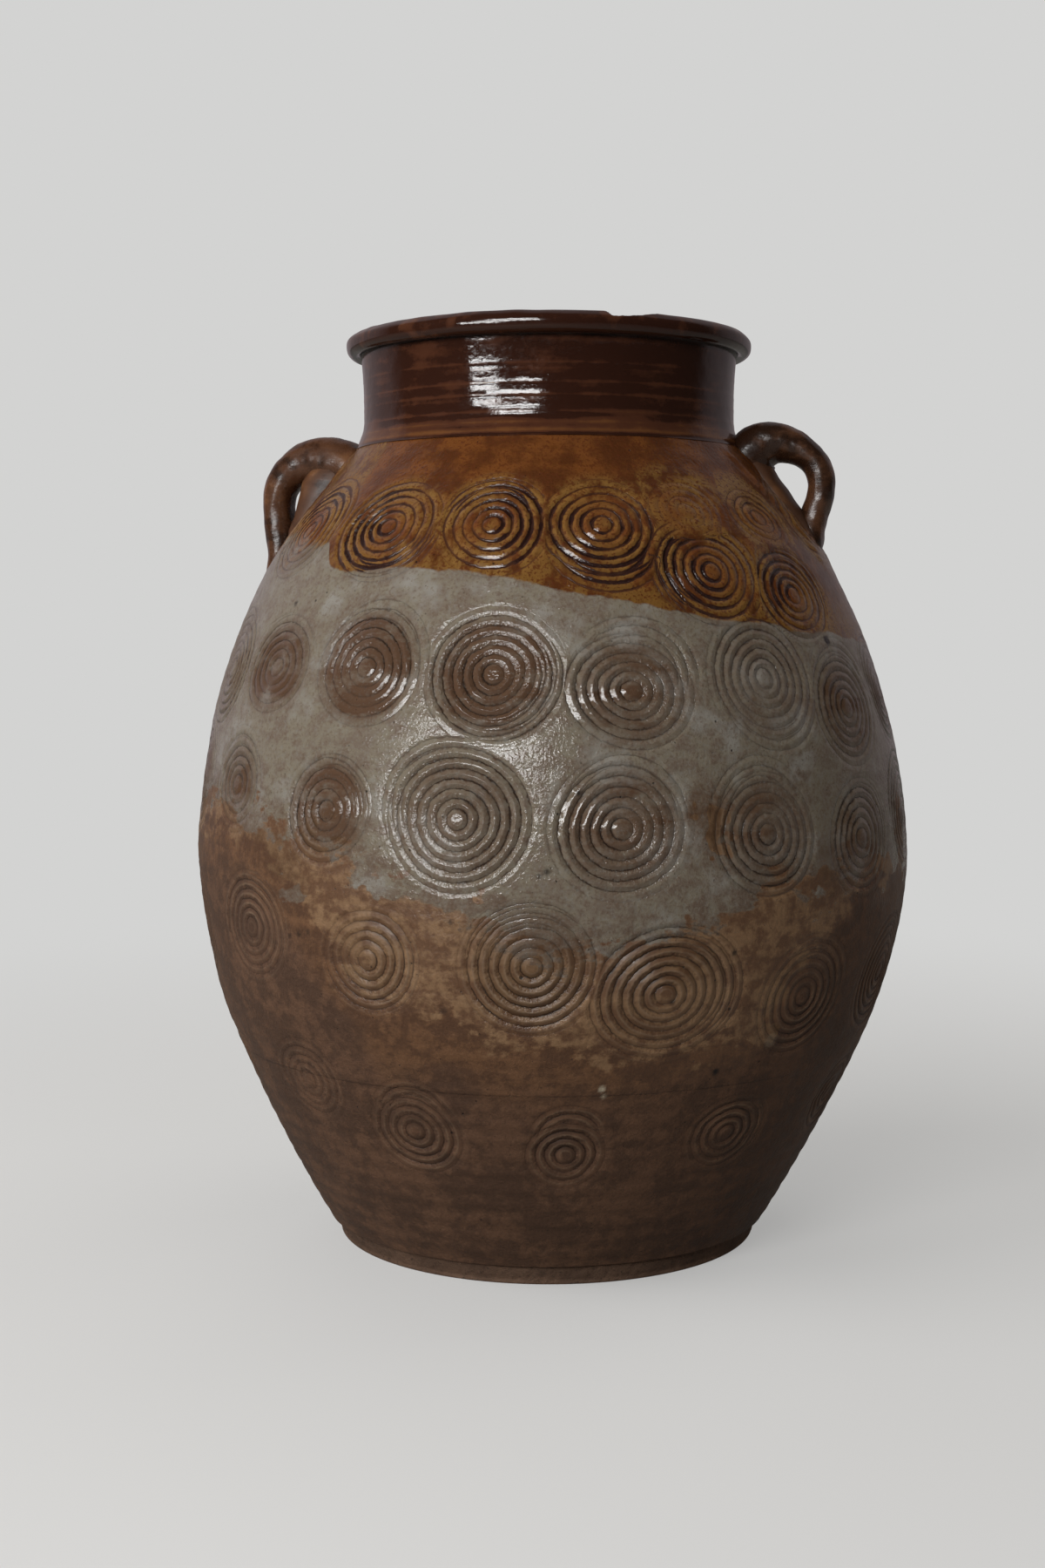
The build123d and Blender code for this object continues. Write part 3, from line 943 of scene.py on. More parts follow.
@dataclass
class BaseDisc:
    """The bottom slab, with its narrow band and a worn lower edge."""

    name: str = "base_disc"
    band_flare: float = 4.9
    edge: float = 2.6
    edge_points: int = 7
    band_rings: int = 14
    flat_rings: int = 18
    hub: float = 4.0
    hub_margin: float = 0.5
    flat_margin: float = 1.0
    first_rise: float = 0.08
    level_step: float = 0.1
    settle: float = 0.5
    band_radii: tuple[float, float] = (112.0, 117.0)
    band_levels: tuple[float, float] = (0.0, 2.0)

    UNEVEN = (Swell(0.3, 24.0, 41), Swell(0.18, 6.0, 42))

    def outline(self) -> Array:
        """From the middle of the underside out, up the band and back to the middle.

        Returns:
            Radius and height pairs in millimetres, in order.
        """
        _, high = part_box(self.name)
        top_radius, thickness = high.x / MM, high.z / MM
        foot_radius = top_radius - self.band_flare
        arc = np.radians(np.linspace(-90, 0, self.edge_points))
        wear_and_painted_highlight = np.stack(
            [foot_radius + self.edge * 0.5 * np.cos(arc), self.edge * (1 + np.sin(arc))], axis=1
        )
        rise = np.linspace(self.first_rise, 1.0, self.band_rings)[:, None]
        band = wear_and_painted_highlight[-1] + (np.array([top_radius, thickness]) - wear_and_painted_highlight[-1]) * rise
        radii = np.linspace(self.hub, foot_radius - self.flat_margin, self.flat_rings)
        under = np.stack([radii, np.zeros(len(radii))], axis=1)
        top = np.stack([radii[::-3], np.full(len(radii[::-3]), thickness)], axis=1)
        return np.concatenate([under, wear_and_painted_highlight, band, top])

    def _close_hub(self, mesh: bpy.types.Mesh) -> None:
        """Take the tube out of the middle and fill both ends of the hole it leaves.

        Args:
            mesh: The spun slab, changed in place.
        """
        shape = bmesh.new()
        shape.from_mesh(mesh)
        reach = self.hub + self.hub_margin
        edges, middle = (
            [part for part in parts if all(vert.co.xy.length < reach for vert in part.verts)]
            for parts in (shape.edges, shape.faces)
        )
        level = [edge for edge in edges
                 if abs(edge.verts[0].co.z - edge.verts[1].co.z) < self.level_step]
        bmesh.ops.delete(shape, geom=middle, context="FACES_ONLY")
        bmesh.ops.holes_fill(shape, edges=level, sides=0)
        bmesh.ops.recalc_face_normals(shape, faces=shape.faces)
        shape.to_mesh(mesh)
        shape.free()

    def build(self, material: Material) -> None:
        """Make the slab.

        Args:
            material: The piece's finish.
        """
        mesh = turned_mesh("base_disc_clay", self.outline())
        self._close_hub(mesh)
        places = read(mesh.vertices, "co", 3)
        radius, _ = polar(places)
        on_band = smooth(*self.band_radii, radius) * smooth(*self.band_levels, places[:, 2])
        lift = on_band * (swelled(places, *self.UNEVEN) - self.settle)
        places[:, :2] *= (1.0 + lift / radius)[:, None]
        finish_piece("base_slab", mesh, places, material, (self.name,))


@dataclass(frozen=True)
class WheelLine:
    """A ridge or groove that a finger or tool left on the turning neck."""

    height: float
    lift: float
    width: float
    slant: float = 0.0
    start: float = 0.0
    sweep: float = 360.0
    fade: float = 12.0

    def amount(self, azimuth: Array, height: Array) -> Array:
        """The lift at each place, in millimetres.

        Args:
            azimuth: The azimuth of each place.
            height: The height of each place.

        Returns:
            The lift at each place, in millimetres.
        """
        level = self.height + self.slant * np.sin(np.radians(azimuth - self.start))
        across = self.lift * bell(height - level, self.width)
        if self.sweep >= 360.0:
            return across
        along = (azimuth - self.start) % 360.0
        ends = smooth(0.0, self.fade, along) * smooth(self.sweep, self.sweep - self.fade, along)
        return across * ends


NECK_LINES = (
    WheelLine(437.8, -0.9, 0.9, 0.2, 20.0), WheelLine(439.6, 0.35, 0.8, 0.2, 20.0),
    WheelLine(441.6, -0.4, 0.7, 0.5, -50.0, 70.0), WheelLine(444.2, 0.35, 0.7, 0.3, 30.0),
    WheelLine(446.8, -0.5, 0.8, 0.6, -60.0, 85.0), WheelLine(449.6, 0.4, 0.6, 0.2, 60.0),
    WheelLine(452.2, -0.25, 0.9, 0.3, 60.0), WheelLine(455.0, 0.18, 0.7, 0.4, 200.0, 170.0),
    WheelLine(458.2, 0.42, 0.6, 0.25, 90.0), WheelLine(460.6, -0.25, 0.9, 0.3, 100.0),
    WheelLine(464.2, 0.42, 0.6, 0.3, 10.0), WheelLine(467.0, -0.2, 1.0, 0.4, 140.0),
    WheelLine(470.5, 0.16, 0.7, 0.3, 320.0, 150.0), WheelLine(474.2, 0.34, 0.6, 0.3, 45.0),
    WheelLine(478.0, -0.15, 1.2, 0.4, 45.0), WheelLine(485.0, 0.12, 0.8, 0.1, 0.0),
)


@dataclass
class Neck:
    """The short waisted neck, with throwing lines under its dark glaze."""

    form: BodyForm
    name: str = "neck_collar"
    wall: float = 10.4
    outside_rings: int = 74
    line_relief_share: float = 0.2
    settle: float = 0.3
    seam_levels: tuple[float, float] = (436.9, 438.5)
    skin: float = 8.0
    seam_margin: float = 0.5
    thin_low: float = 0.7
    thin_low_levels: tuple[float, float] = (450.0, 440.0)
    thick: float = 0.25
    thin_limits: tuple[float, float] = (-1.0, 1.5)

    # The outside, as shares of the neck's rise and how far each stands out from the waist
    RISE_SHARES = (0.0, 0.17, 0.43, 0.75, 1.0)
    FLARES = (4.6, 0.9, 0.0, 0.6, 1.9)
    BORE_SHARES = (1.0, 0.8, 0.6, 0.4, 0.25)
    # Where the bore opens into the shoulder: out from the bore, and up from the neck's foot
    COVE = ((1.2, 4.0), (4.5, -1.5))
    LUMPS = (Swell(0.16, 45.0, 51), Swell(0.05, 12.0, 52))
    THINNESS = Swell(0.25, 30.0, 53, 2.6)

    def outline(self) -> Array:
        """Up the outside into the rim, and down the bore.

        Returns:
            Radius and height pairs in millimetres, in order.
        """
        _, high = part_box(self.name)
        foot_height = float(self.form.outer.places[-1])
        rise = high.z / MM - foot_height
        waist = high.x / MM - self.FLARES[0]
        line = SmoothLine(foot_height + rise * np.array(self.RISE_SHARES),
                          waist + np.array(self.FLARES))
        levels = np.linspace(foot_height, high.z / MM, self.outside_rings)
        bore = waist - self.wall
        inner_foot = self.form.inside_of["shoulder_wall"][-1]
        return np.array([
            *zip(line.at(levels), levels),
            *((bore, foot_height + rise * share) for share in self.BORE_SHARES),
            *((bore + out, foot_height + up) for out, up in self.COVE),
            (inner_foot[1], inner_foot[0]),
        ])

    def build(self, material: Material) -> None:
        """Make the neck.

        Args:
            material: The piece's finish.
        """
        mesh = turned_mesh("neck_collar_body", self.outline())
        places = read(mesh.vertices, "co", 3)
        radius, azimuth = polar(places)
        height = places[:, 2]
        _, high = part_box(self.name)
        outside = radius > high.x / MM - self.skin
        outside &= height > self.form.outer.places[-1] - self.seam_margin
        lines = sum(line.amount(azimuth, height) for line in NECK_LINES)
        lift = swelled(places, *self.LUMPS) - self.settle + lines * self.line_relief_share
        # The glaze breaks thin on each ridge, and again low down where it ran off the neck
        thin = swelled(places, self.THINNESS) + lines - self.thick
        thin += self.thin_low * smooth(*self.thin_low_levels, height)
        lift *= outside * smooth(*self.seam_levels, height)
        places[:, :2] *= (1.0 + lift / radius)[:, None]
        store(mesh, {
            Field.THIN: np.clip(thin, *self.thin_limits) * outside,
            Field.INSIDE: 1.0 - outside,
            Field.BREAK: np.zeros(len(places)),
        })
        finish_piece("neck_body", mesh, places, material, (self.name,))


@dataclass
class Rim:
    """The rolled lip, undercut below, with an old flake missing from its front edge."""

    name: str = "rolled_rim"
    inner_drop: float = 1.6
    bore_radius: float = 92.5
    seat_radius: float = 104.8
    under_radius: float = 107.8
    hang: float = 3.4
    foot_drop: float = 1.0
    rings: int = 78
    chip_azimuth: float = 23.2
    chip_width: float = 33.0
    chip_depth: float = 3.6
    chip_reach: float = 13.0
    chip_steep_width: float = 3.5
    chip_ease: float = 1.8
    chip_edge: float = 2.0
    chip_bare: tuple[float, float] = (0.1, 0.5)
    top_settle: float = 0.55
    nose_settle: float = 0.45
    lump_band: tuple[float, float] = (-6.0, -1.0)
    thick: float = 0.34
    thin_crest: float = 0.12
    thin_crest_band: tuple[float, float] = (-9.0, -4.0)
    inner_edge: tuple[float, float] = (4.0, 1.0)

    # Where it sits on the neck: out from the seat, and up from the solid's underside or the roll's
    SEAT = ((-2.0, 1.6), (0.0, 1.0))
    # In from the nose, and up from the roll's underside
    ROLL = ((2.8, 0.4), (0.7, 2.2), (0.0, 5.2), (0.5, 8.4))
    # In from the nose, and down from the crest
    CREST = ((2.1, 2.2), (5.0, 0.5), (7.2, 0.05), (10.2, 0.5))
    # Out from the bore, and down from the inner lip
    LIP = ((4.5, 0.0), (1.3, 1.3), (0.0, 4.5))
    CHIP_GRAIN = (Swell(0.25, 5.0, 61), Swell(0.12, 2.0, 62))
    TOP_LUMPS = (Swell(0.35, 70.0, 63), Swell(0.14, 17.0, 64))
    NOSE_LUMPS = Swell(0.3, 40.0, 65)
    THINNESS = (Swell(0.35, 22.0, 66), Swell(0.25, 7.0, 67))

    def outline(self) -> Array:
        """Round the lip: under the roll, over its nose and crest, and into the bore.

        Returns:
            Radius and height pairs in millimetres, in order.
        """
        low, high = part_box(self.name)
        nose, under, crest = high.x / MM, low.z / MM, high.z / MM
        lip = crest - self.inner_drop
        roll = under - self.hang
        marks = np.array([
            (self.seat_radius + self.SEAT[0][0], under + self.SEAT[0][1]),
            (self.seat_radius + self.SEAT[1][0], roll + self.SEAT[1][1]),
            (self.under_radius, roll),
            *((nose - inset, roll + up) for inset, up in self.ROLL),
            *((nose - inset, crest - down) for inset, down in self.CREST),
            *((self.bore_radius + out, lip - down) for out, down in self.LIP),
            (self.bore_radius, under - self.foot_drop),
        ])
        return evened(along_path(marks), marks, self.rings)

    def chip(self, places: Array, crest: float, nose: float) -> tuple[Array, Array]:
        """How far the flake lowers each place, and how bare its clay is.

        Args:
            places: The rim's vertices.
            crest: The rim's highest level.
            nose: The rim's greatest radius.

        Returns:
            The drop in millimetres, and a share of bare clay.
        """
        turn = math.radians(self.chip_azimuth)
        across = places[:, 0] * math.cos(turn) + places[:, 1] * math.sin(turn)
        outward = places[:, 0] * math.sin(turn) - places[:, 1] * math.cos(turn)
        left, right = -self.chip_width / 2, self.chip_width / 2
        profile = smooth(left, left + self.chip_steep_width, across)
        share = np.clip((right - across) / (self.chip_width - self.chip_steep_width), 0.0, 1.0)
        profile *= 1.0 - (1.0 - share) ** self.chip_ease
        reach = smooth(-self.chip_edge, self.chip_edge, outward - nose + self.chip_reach)
        floor = crest - (self.chip_depth - swelled(places, *self.CHIP_GRAIN)) * profile
        sink = np.clip(places[:, 2] - floor, 0.0, None) * reach * (profile > 0)
        return sink, smooth(*self.chip_bare, sink)

    def build(self, material: Material) -> None:
        """Make the rim.

        Args:
            material: The piece's finish.
        """
        mesh = turned_mesh("rolled_rim_body", self.outline())
        places = read(mesh.vertices, "co", 3)
        _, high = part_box(self.name)
        crest, nose = high.z / MM, high.x / MM
        radius, _ = polar(places)
        top = smooth(*self.lump_band, places[:, 2] - crest)
        places[:, 2] += top * (swelled(places, *self.TOP_LUMPS) - self.top_settle)
        edge = smooth(*self.lump_band, radius - nose)
        lift = edge * (swelled(places, self.NOSE_LUMPS) - self.nose_settle)
        places[:, :2] *= (1.0 + lift / radius)[:, None]
        sink, bare = self.chip(places, crest, nose)
        places[:, 2] -= sink
        thin = swelled(places, *self.THINNESS) - self.thick
        thin += self.thin_crest * smooth(*self.thin_crest_band, places[:, 2] - crest)
        store(mesh, {
            Field.THIN: thin,
            Field.INSIDE: smooth(*self.inner_edge, radius - self.bore_radius),
            Field.BREAK: bare,
        })
        finish_piece("rim_roll", mesh, places, material, (self.name,))


# A lug's strap by its sections: shares of its chord, reach, thickness and width
RIGHT_STATION_SHARES = (
    (0.150, -0.62, 1.95, 1.40), (0.060, -0.27, 1.95, 1.50), (0.006, 0.09, 1.86, 1.42),
    (-0.003, 0.38, 1.71, 1.30), (0.038, 0.64, 1.47, 1.18), (0.113, 0.83, 1.27, 1.08),
    (0.212, 0.97, 1.12, 1.02), (0.326, 1.00, 1.03, 1.00), (0.433, 0.89, 1.00, 0.98),
    (0.518, 0.66, 1.00, 0.96), (0.584, 0.38, 0.99, 0.98), (0.650, 0.16, 0.96, 1.06),
    (0.740, 0.00, 0.78, 1.16), (0.820, -0.16, 0.50, 1.10), (0.900, -0.36, 0.30, 0.80),
)
LEFT_STATION_SHARES = (
    (0.110, -0.52, 1.69, 1.35), (0.036, -0.184, 1.69, 1.45), (0.050, 0.134, 1.63, 1.38),
    (0.089, 0.444, 1.56, 1.28), (0.154, 0.684, 1.47, 1.16), (0.243, 0.859, 1.33, 1.08),
    (0.345, 0.944, 1.17, 1.02), (0.446, 0.922, 1.06, 1.00), (0.535, 0.800, 1.00, 1.00),
    (0.619, 0.606, 1.01, 1.00), (0.704, 0.388, 1.00, 1.02), (0.800, 0.2125, 0.88, 1.06),
    (0.908, 0.081, 0.72, 1.06), (1.009, -0.05, 0.48, 0.95), (1.060, -0.22, 0.30, 0.70),
)

# How far each pad stands out from the shoulder, by height
RIGHT_PAD_LIFTS = (
    (374.0, 0.2), (384.0, 1.8), (393.0, 3.6), (399.4, 4.8), (405.3, 5.1), (410.5, 6.4),
    (416.4, 7.0), (421.4, 9.0), (436.5, 10.0),
)
LEFT_PAD_LIFTS = (
    (376.0, 0.2), (383.0, 3.0), (387.2, 6.2), (391.0, 9.3), (396.5, 9.9), (400.8, 12.3),
    (405.8, 15.6), (410.0, 19.2), (418.0, 22.5), (426.0, 21.0), (436.5, 12.0),
)


@dataclass
class Lug:
    """A pulled strap lug: its loop and the clay smeared under it."""

    form: BodyForm
    side: str
    azimuth: float
    top_height: float
    foot_height: float
    reach: float
    thickness: float
    width: float
    station_shares: tuple[tuple[float, ...], ...]
    pad_width: float
    pad_lifts: tuple[tuple[float, float], ...]
    seed: int
    ring_points: int = 56
    steps: int = 110
    pad_segments: tuple[int, int] = (72, 48)
    profile_samples: int = 1500
    flat_power: float = 0.9
    broad_power: float = 0.86
    loop_settle: float = 0.25
    pad_settle: float = 0.6
    pad_root: float = 3.0
    pad_swell_power: float = 0.75
    pad_thin: float = 0.3

    KNEADS = (Swell(0.45, 26.0, 0), Swell(0.2, 9.0, 1), Swell(0.1, 4.0, 2, 0.3))
    LOOP_THINS = (Swell(0.5, 30.0, 3), Swell(0.2, 9.0, 4))
    PAD_THINS = (Swell(0.4, 20.0, 5),)

    def _uneven(self, places: Array, swells: tuple[Swell, ...]) -> Array:
        """This lug's own unevenness, its seeds counted from the lug's."""
        return swelled(places, *(replace(swell, seed=self.seed + swell.seed) for swell in swells))

    def strap(self) -> tuple[Array, Array, Array]:
        """The centre line in the upright plane, with its half thickness and half width.

        Returns:
            The line's radius and height, and the two halves, all in millimetres.
        """
        start, end = (
            np.array([float(self.form.outer.at(height)), height])
            for height in (self.top_height, self.foot_height)
        )
        run = end - start
        out = np.array([-run[1], run[0]]) / np.linalg.norm(run)
        shares = np.array(self.station_shares)
        line = start + shares[:, :1] * run + shares[:, 1:2] * self.reach * out
        rows = evened(along_path(line), np.hstack([line, shares[:, 2:]]), self.steps)
        return rows[:, :2], rows[:, 2] * self.thickness / 2, rows[:, 3] * self.width / 2

    def _drawn_ring(self, shape: bmesh.types.BMesh) -> list[list[bmesh.types.BMVert]]:
        """Draw one ring of points out into a tube, and give its rings in order.

        Args:
            shape: The bmesh to draw in.

        Returns:
            The rings, root to root.
        """
        ring = bmesh.ops.create_circle(shape, segments=self.ring_points, radius=1.0)["verts"]
        edges = list({edge for vert in ring for edge in vert.link_edges})
        rings = [ring]
        for _ in range(self.steps - 1):
            drawn = bmesh.ops.extrude_edge_only(shape, edges=edges)["geom"]
            edges = [item for item in drawn if isinstance(item, bmesh.types.BMEdge)]
            edges = [edge for edge in edges if edge.is_boundary]
            fresh = {vert for edge in edges for vert in edge.verts}
            rings.append([
                next(e.other_vert(vert) for e in vert.link_edges if e.other_vert(vert) in fresh)
                for vert in rings[-1]
            ])
        return rings

    def _finish(self, part: str, mesh: bpy.types.Mesh, places: Array, thin: Array,
                material: Material) -> None:
        """Store a part's glaze thickness and finish it."""
        store(mesh, {Field.THIN: thin, Field.INSIDE: thin * 0.0, Field.BREAK: thin * 0.0})
        finish_piece(f"{self.side}_{part}", mesh, places, material,
                     (f"{self.side}_lug_{part}",))

    def build_loop(self, material: Material) -> None:
        """Make the loop by drawing one ring of points along the strap.

        Args:
            material: The piece's finish.
        """
        centre, thick, wide = self.strap()
        shape = bmesh.new()
        rings = self._drawn_ring(shape)
        turn = math.radians(self.azimuth)
        radial = np.array([math.sin(turn), -math.cos(turn), 0.0])
        sideways = np.array([math.cos(turn), math.sin(turn), 0.0])
        upright = np.array([0.0, 0.0, 1.0])
        tangent = np.gradient(centre, axis=0)
        tangent /= np.linalg.norm(tangent, axis=1)[:, None]
        angles = np.arange(self.ring_points) * math.tau / self.ring_points
        # The strap's section is an oval, squarer than an ellipse where fingers pressed it
        flat = np.sign(np.sin(angles)) * np.abs(np.sin(angles)) ** self.flat_power
        broad = np.sign(np.cos(angles)) * np.abs(np.cos(angles)) ** self.broad_power
        for index, verts in enumerate(rings):
            across = np.array([-tangent[index, 1], tangent[index, 0]])
            for vert, along, side in zip(verts, flat * thick[index], broad * wide[index]):
                spot = centre[index] + across * along
                vert.co = radial * spot[0] + upright * spot[1] + sideways * side
        for end in (rings[0], rings[-1]):
            bmesh.ops.contextual_create(shape, geom=end)
        bmesh.ops.recalc_face_normals(shape, faces=shape.faces)
        mesh = bpy.data.meshes.new(f"{self.side}_lug_loop_body")
        shape.to_mesh(mesh)
        shape.free()
        normals = np.array([vert.normal[:] for vert in mesh.vertices])
        places = read(mesh.vertices, "co", 3)
        knead = self._uneven(places, self.KNEADS)
        places += normals * (knead - self.loop_settle)[:, None]
        self._finish("loop", mesh, places, self._uneven(places, self.LOOP_THINS), material)

    def build_pad(self, material: Material) -> None:
        """Make the smear of clay from a flattened ball laid along the shoulder.

        Args:
            material: The piece's finish.
        """
        around, upward = self.pad_segments
        shape = bmesh.new()
        bmesh.ops.create_uvsphere(shape, u_segments=around, v_segments=upward, radius=1.0)
        mesh = bpy.data.meshes.new(f"{self.side}_lug_pad_body")
        shape.to_mesh(mesh)
        shape.free()
        unit = read(mesh.vertices, "co", 3)
        marks = np.array(self.pad_lifts)
        top = float(self.form.length.at(marks[-1, 0]))
        foot = float(self.form.length.at(marks[0, 0]))
        outer = self.form.outer
        heights = np.linspace(outer.places[0], outer.places[-1], self.profile_samples)
        along = (top + foot) / 2 + unit[:, 1] * (top - foot) / 2
        height = np.interp(along, self.form.length.at(heights), heights)
        radius = outer.at(height)
        radial, upright = self.form.normal(height)
        swell = np.clip(unit[:, 2], 0.0, 1.0) ** self.pad_swell_power
        under = np.clip(unit[:, 2], -1.0, 0.0) * self.pad_root
        lift = np.interp(height, marks[:, 0], marks[:, 1]) * swell + under - self.pad_settle
        turn = math.radians(self.azimuth) + unit[:, 0] * self.pad_width / 2 / radius
        out = radius + lift * radial
        places = np.stack([out * np.sin(turn), -out * np.cos(turn), height + lift * upright], 1)
        thin = self.pad_thin + self._uneven(places, self.PAD_THINS)
        self._finish("pad", mesh, places, thin, material)


def linear(tone: str) -> tuple[float, ...]:
    """A colour written as sRGB hex, as the linear values that a shader takes."""
    parts = [int(tone[index:index + 2], 16) / 255 for index in (1, 3, 5)]
    flat = [part / 12.92 if part <= 0.04045 else ((part + 0.055) / 1.055) ** 2.4 for part in parts]
    return (*flat, 1.0)


def add(
    tree: Tree,
    kind: str,
    inputs: dict[Any, Any] | tuple[Any, ...] = (),
    out: int | str | None = 0,
    **settings: Any,
) -> Any:
    """Add a shader node, set it and link it.

    Args:
        tree: The material's or world's tree.
        kind: The node's type without its common prefix.
        inputs: Sockets, values or hex colours, in order, or by input name or number.
        out: Which output is wanted, or None for all of them.
        **settings: The node's own settings.

    Returns:
        The wanted output, or all of them.
    """
    node = tree.nodes.new("ShaderNode" + kind)
    for key, value in settings.items():
        setattr(node, key, value)
    for key, value in (inputs if isinstance(inputs, dict) else dict(enumerate(inputs))).items():
        if isinstance(value, Socket):
            tree.links.new(value, node.inputs[key])
        else:
            node.inputs[key].default_value = linear(value) if isinstance(value, str) else value
    return node.outputs[out] if node.outputs and out is not None else node.outputs


# A ramp that eases in and out
SOFT = {"interpolation_type": "SMOOTHSTEP"}


def new_material(
    name: str, fields: tuple[Field, ...]
) -> tuple[Material, Tree, dict[Field, Socket]]:
    """An empty node material, its tree, and the stored fields that it reads.

    Args:
        name: The material's name.
        fields: The fields that it reads.

    Returns:
        The material, its tree, and a socket for each field.
    """
    material = bpy.data.materials.new(name)
    material.use_nodes = True
    tree = material.node_tree
    tree.nodes.clear()
    held = {what: add(tree, "Attribute", out="Fac", attribute_name=what.value) for what in fields}
    return material, tree, held


def coat(tree: Tree, base: Socket | str, *coats: tuple[Any, Any]) -> Socket:
    """Lay one coat of colour after another over a base.

    Args:
        tree: The material's tree.
        base: The colour underneath.
        *coats: How much of each coat lies there, and its colour, the lowest first.

    Returns:
        The colour that shows.
    """
    for share, colour in coats:
        base = add(tree, "Mix", {0: share, 6: base, 7: colour}, out=2, data_type="RGBA")
    return base


def piled(tree: Tree, *parts: tuple[Any, Any]) -> Socket:
    """Add up parts, each times its own strength, such as a depth in millimetres.

    Args:
        tree: The material's tree.
        *parts: Each part and its strength.

    Returns:
        The sum.
    """
    total = 0.0
    for part, strength in parts:
        total = add(tree, "Math", (part, strength, total), operation="MULTIPLY_ADD")
    return total


@dataclass(frozen=True)
class Cloud:
    """A cloudy pattern: about how wide its patches are, its detail, and how flat they lie."""

    size_mm: float
    detail: float
    flatness: float = 1.0


def clouds(tree: Tree, *patterns: Cloud) -> list[Socket]:
    """Cloudy variation over a piece, one value for each pattern.

    Args:
        tree: The material's tree.
        *patterns: The patterns wanted.

    Returns:
        A value for each pattern.
    """
    place = add(tree, "TexCoord", out="Object")
    made = []
    for cloud in patterns:
        where = add(tree, "VectorMath", (place, (1.0, 1.0, cloud.flatness)), operation="MULTIPLY")
        made.append(add(tree, "TexNoise", {
            "Vector": where, "Scale": 1.0 / (cloud.size_mm * MM), "Detail": cloud.detail,
            "Roughness": 0.62,
        }))
    return made


# Specks by size: their spacing, and the largest speck's radius as a share of it
SPECK_SIZES = ((17.0, 0.035), (7.65, 0.045), (3.74, 0.07))
FINE_SPECKS = 0.6


def specks_in(tree: Tree) -> Socket:
    """Dark iron specks and small burst pits, a few millimetres to centimetres apart.

    Args:
        tree: The material's tree.

    Returns:
        1 in the middle of a speck, and 0 off it.
    """
    place = add(tree, "TexCoord", out="Object")
    marks = []
    for spacing_mm, radius_share in SPECK_SIZES:
        cells = add(tree, "TexVoronoi", {"Vector": place, "Scale": 1.0 / (spacing_mm * MM)},
                    out=None)
        chance = add(tree, "SeparateColor", (cells["Color"],))
        reach = add(tree, "MapRange", (chance, 0.55, 1.0, 0.0, radius_share * 2))
        gap = add(tree, "Math", (reach, cells["Distance"]), operation="SUBTRACT")
        marks.append(add(tree, "MapRange", (gap, 0.0, 0.03)))
    large = add(tree, "Math", (marks[0], marks[1]), operation="MAXIMUM")
    return add(tree, "Math", (marks[2], FINE_SPECKS, large), operation="MULTIPLY_ADD",
               use_clamp=True)


def end_surface(tree: Tree, height: Socket, look: dict[str, Any]) -> None:
    """End a material with its shader, over fine relief given as a height in millimetres."""
    normal = add(tree, "Bump", {"Height": height, "Distance": MM, "Strength": 1.0})
    shader = add(tree, "BsdfPrincipled", {**look, "Normal": normal})
    add(tree, "OutputMaterial", {"Surface": shader})


@dataclass(frozen=True)
class GlazeTones:
    """The colours of one glaze, where it lies thin, in its body and where it pooled."""

    thin: str
    body: str
    pooled: str


@dataclass(frozen=True)
class Ground:
    """What the body's glazes are painted from: stored fields and cloudy patterns."""

    tree: Tree
    held: dict[Field, Socket]
    wide: Socket
    drip: Socket
    streak: Socket
    small: Socket
    grain: Socket
    wear: Socket


@dataclass(frozen=True)
class Rings:
    """The crisp rings of the stamps, as the finish sees them."""

    pool: Socket
    bite: Socket
    groove: Socket
    crest: Socket
    relief: Socket


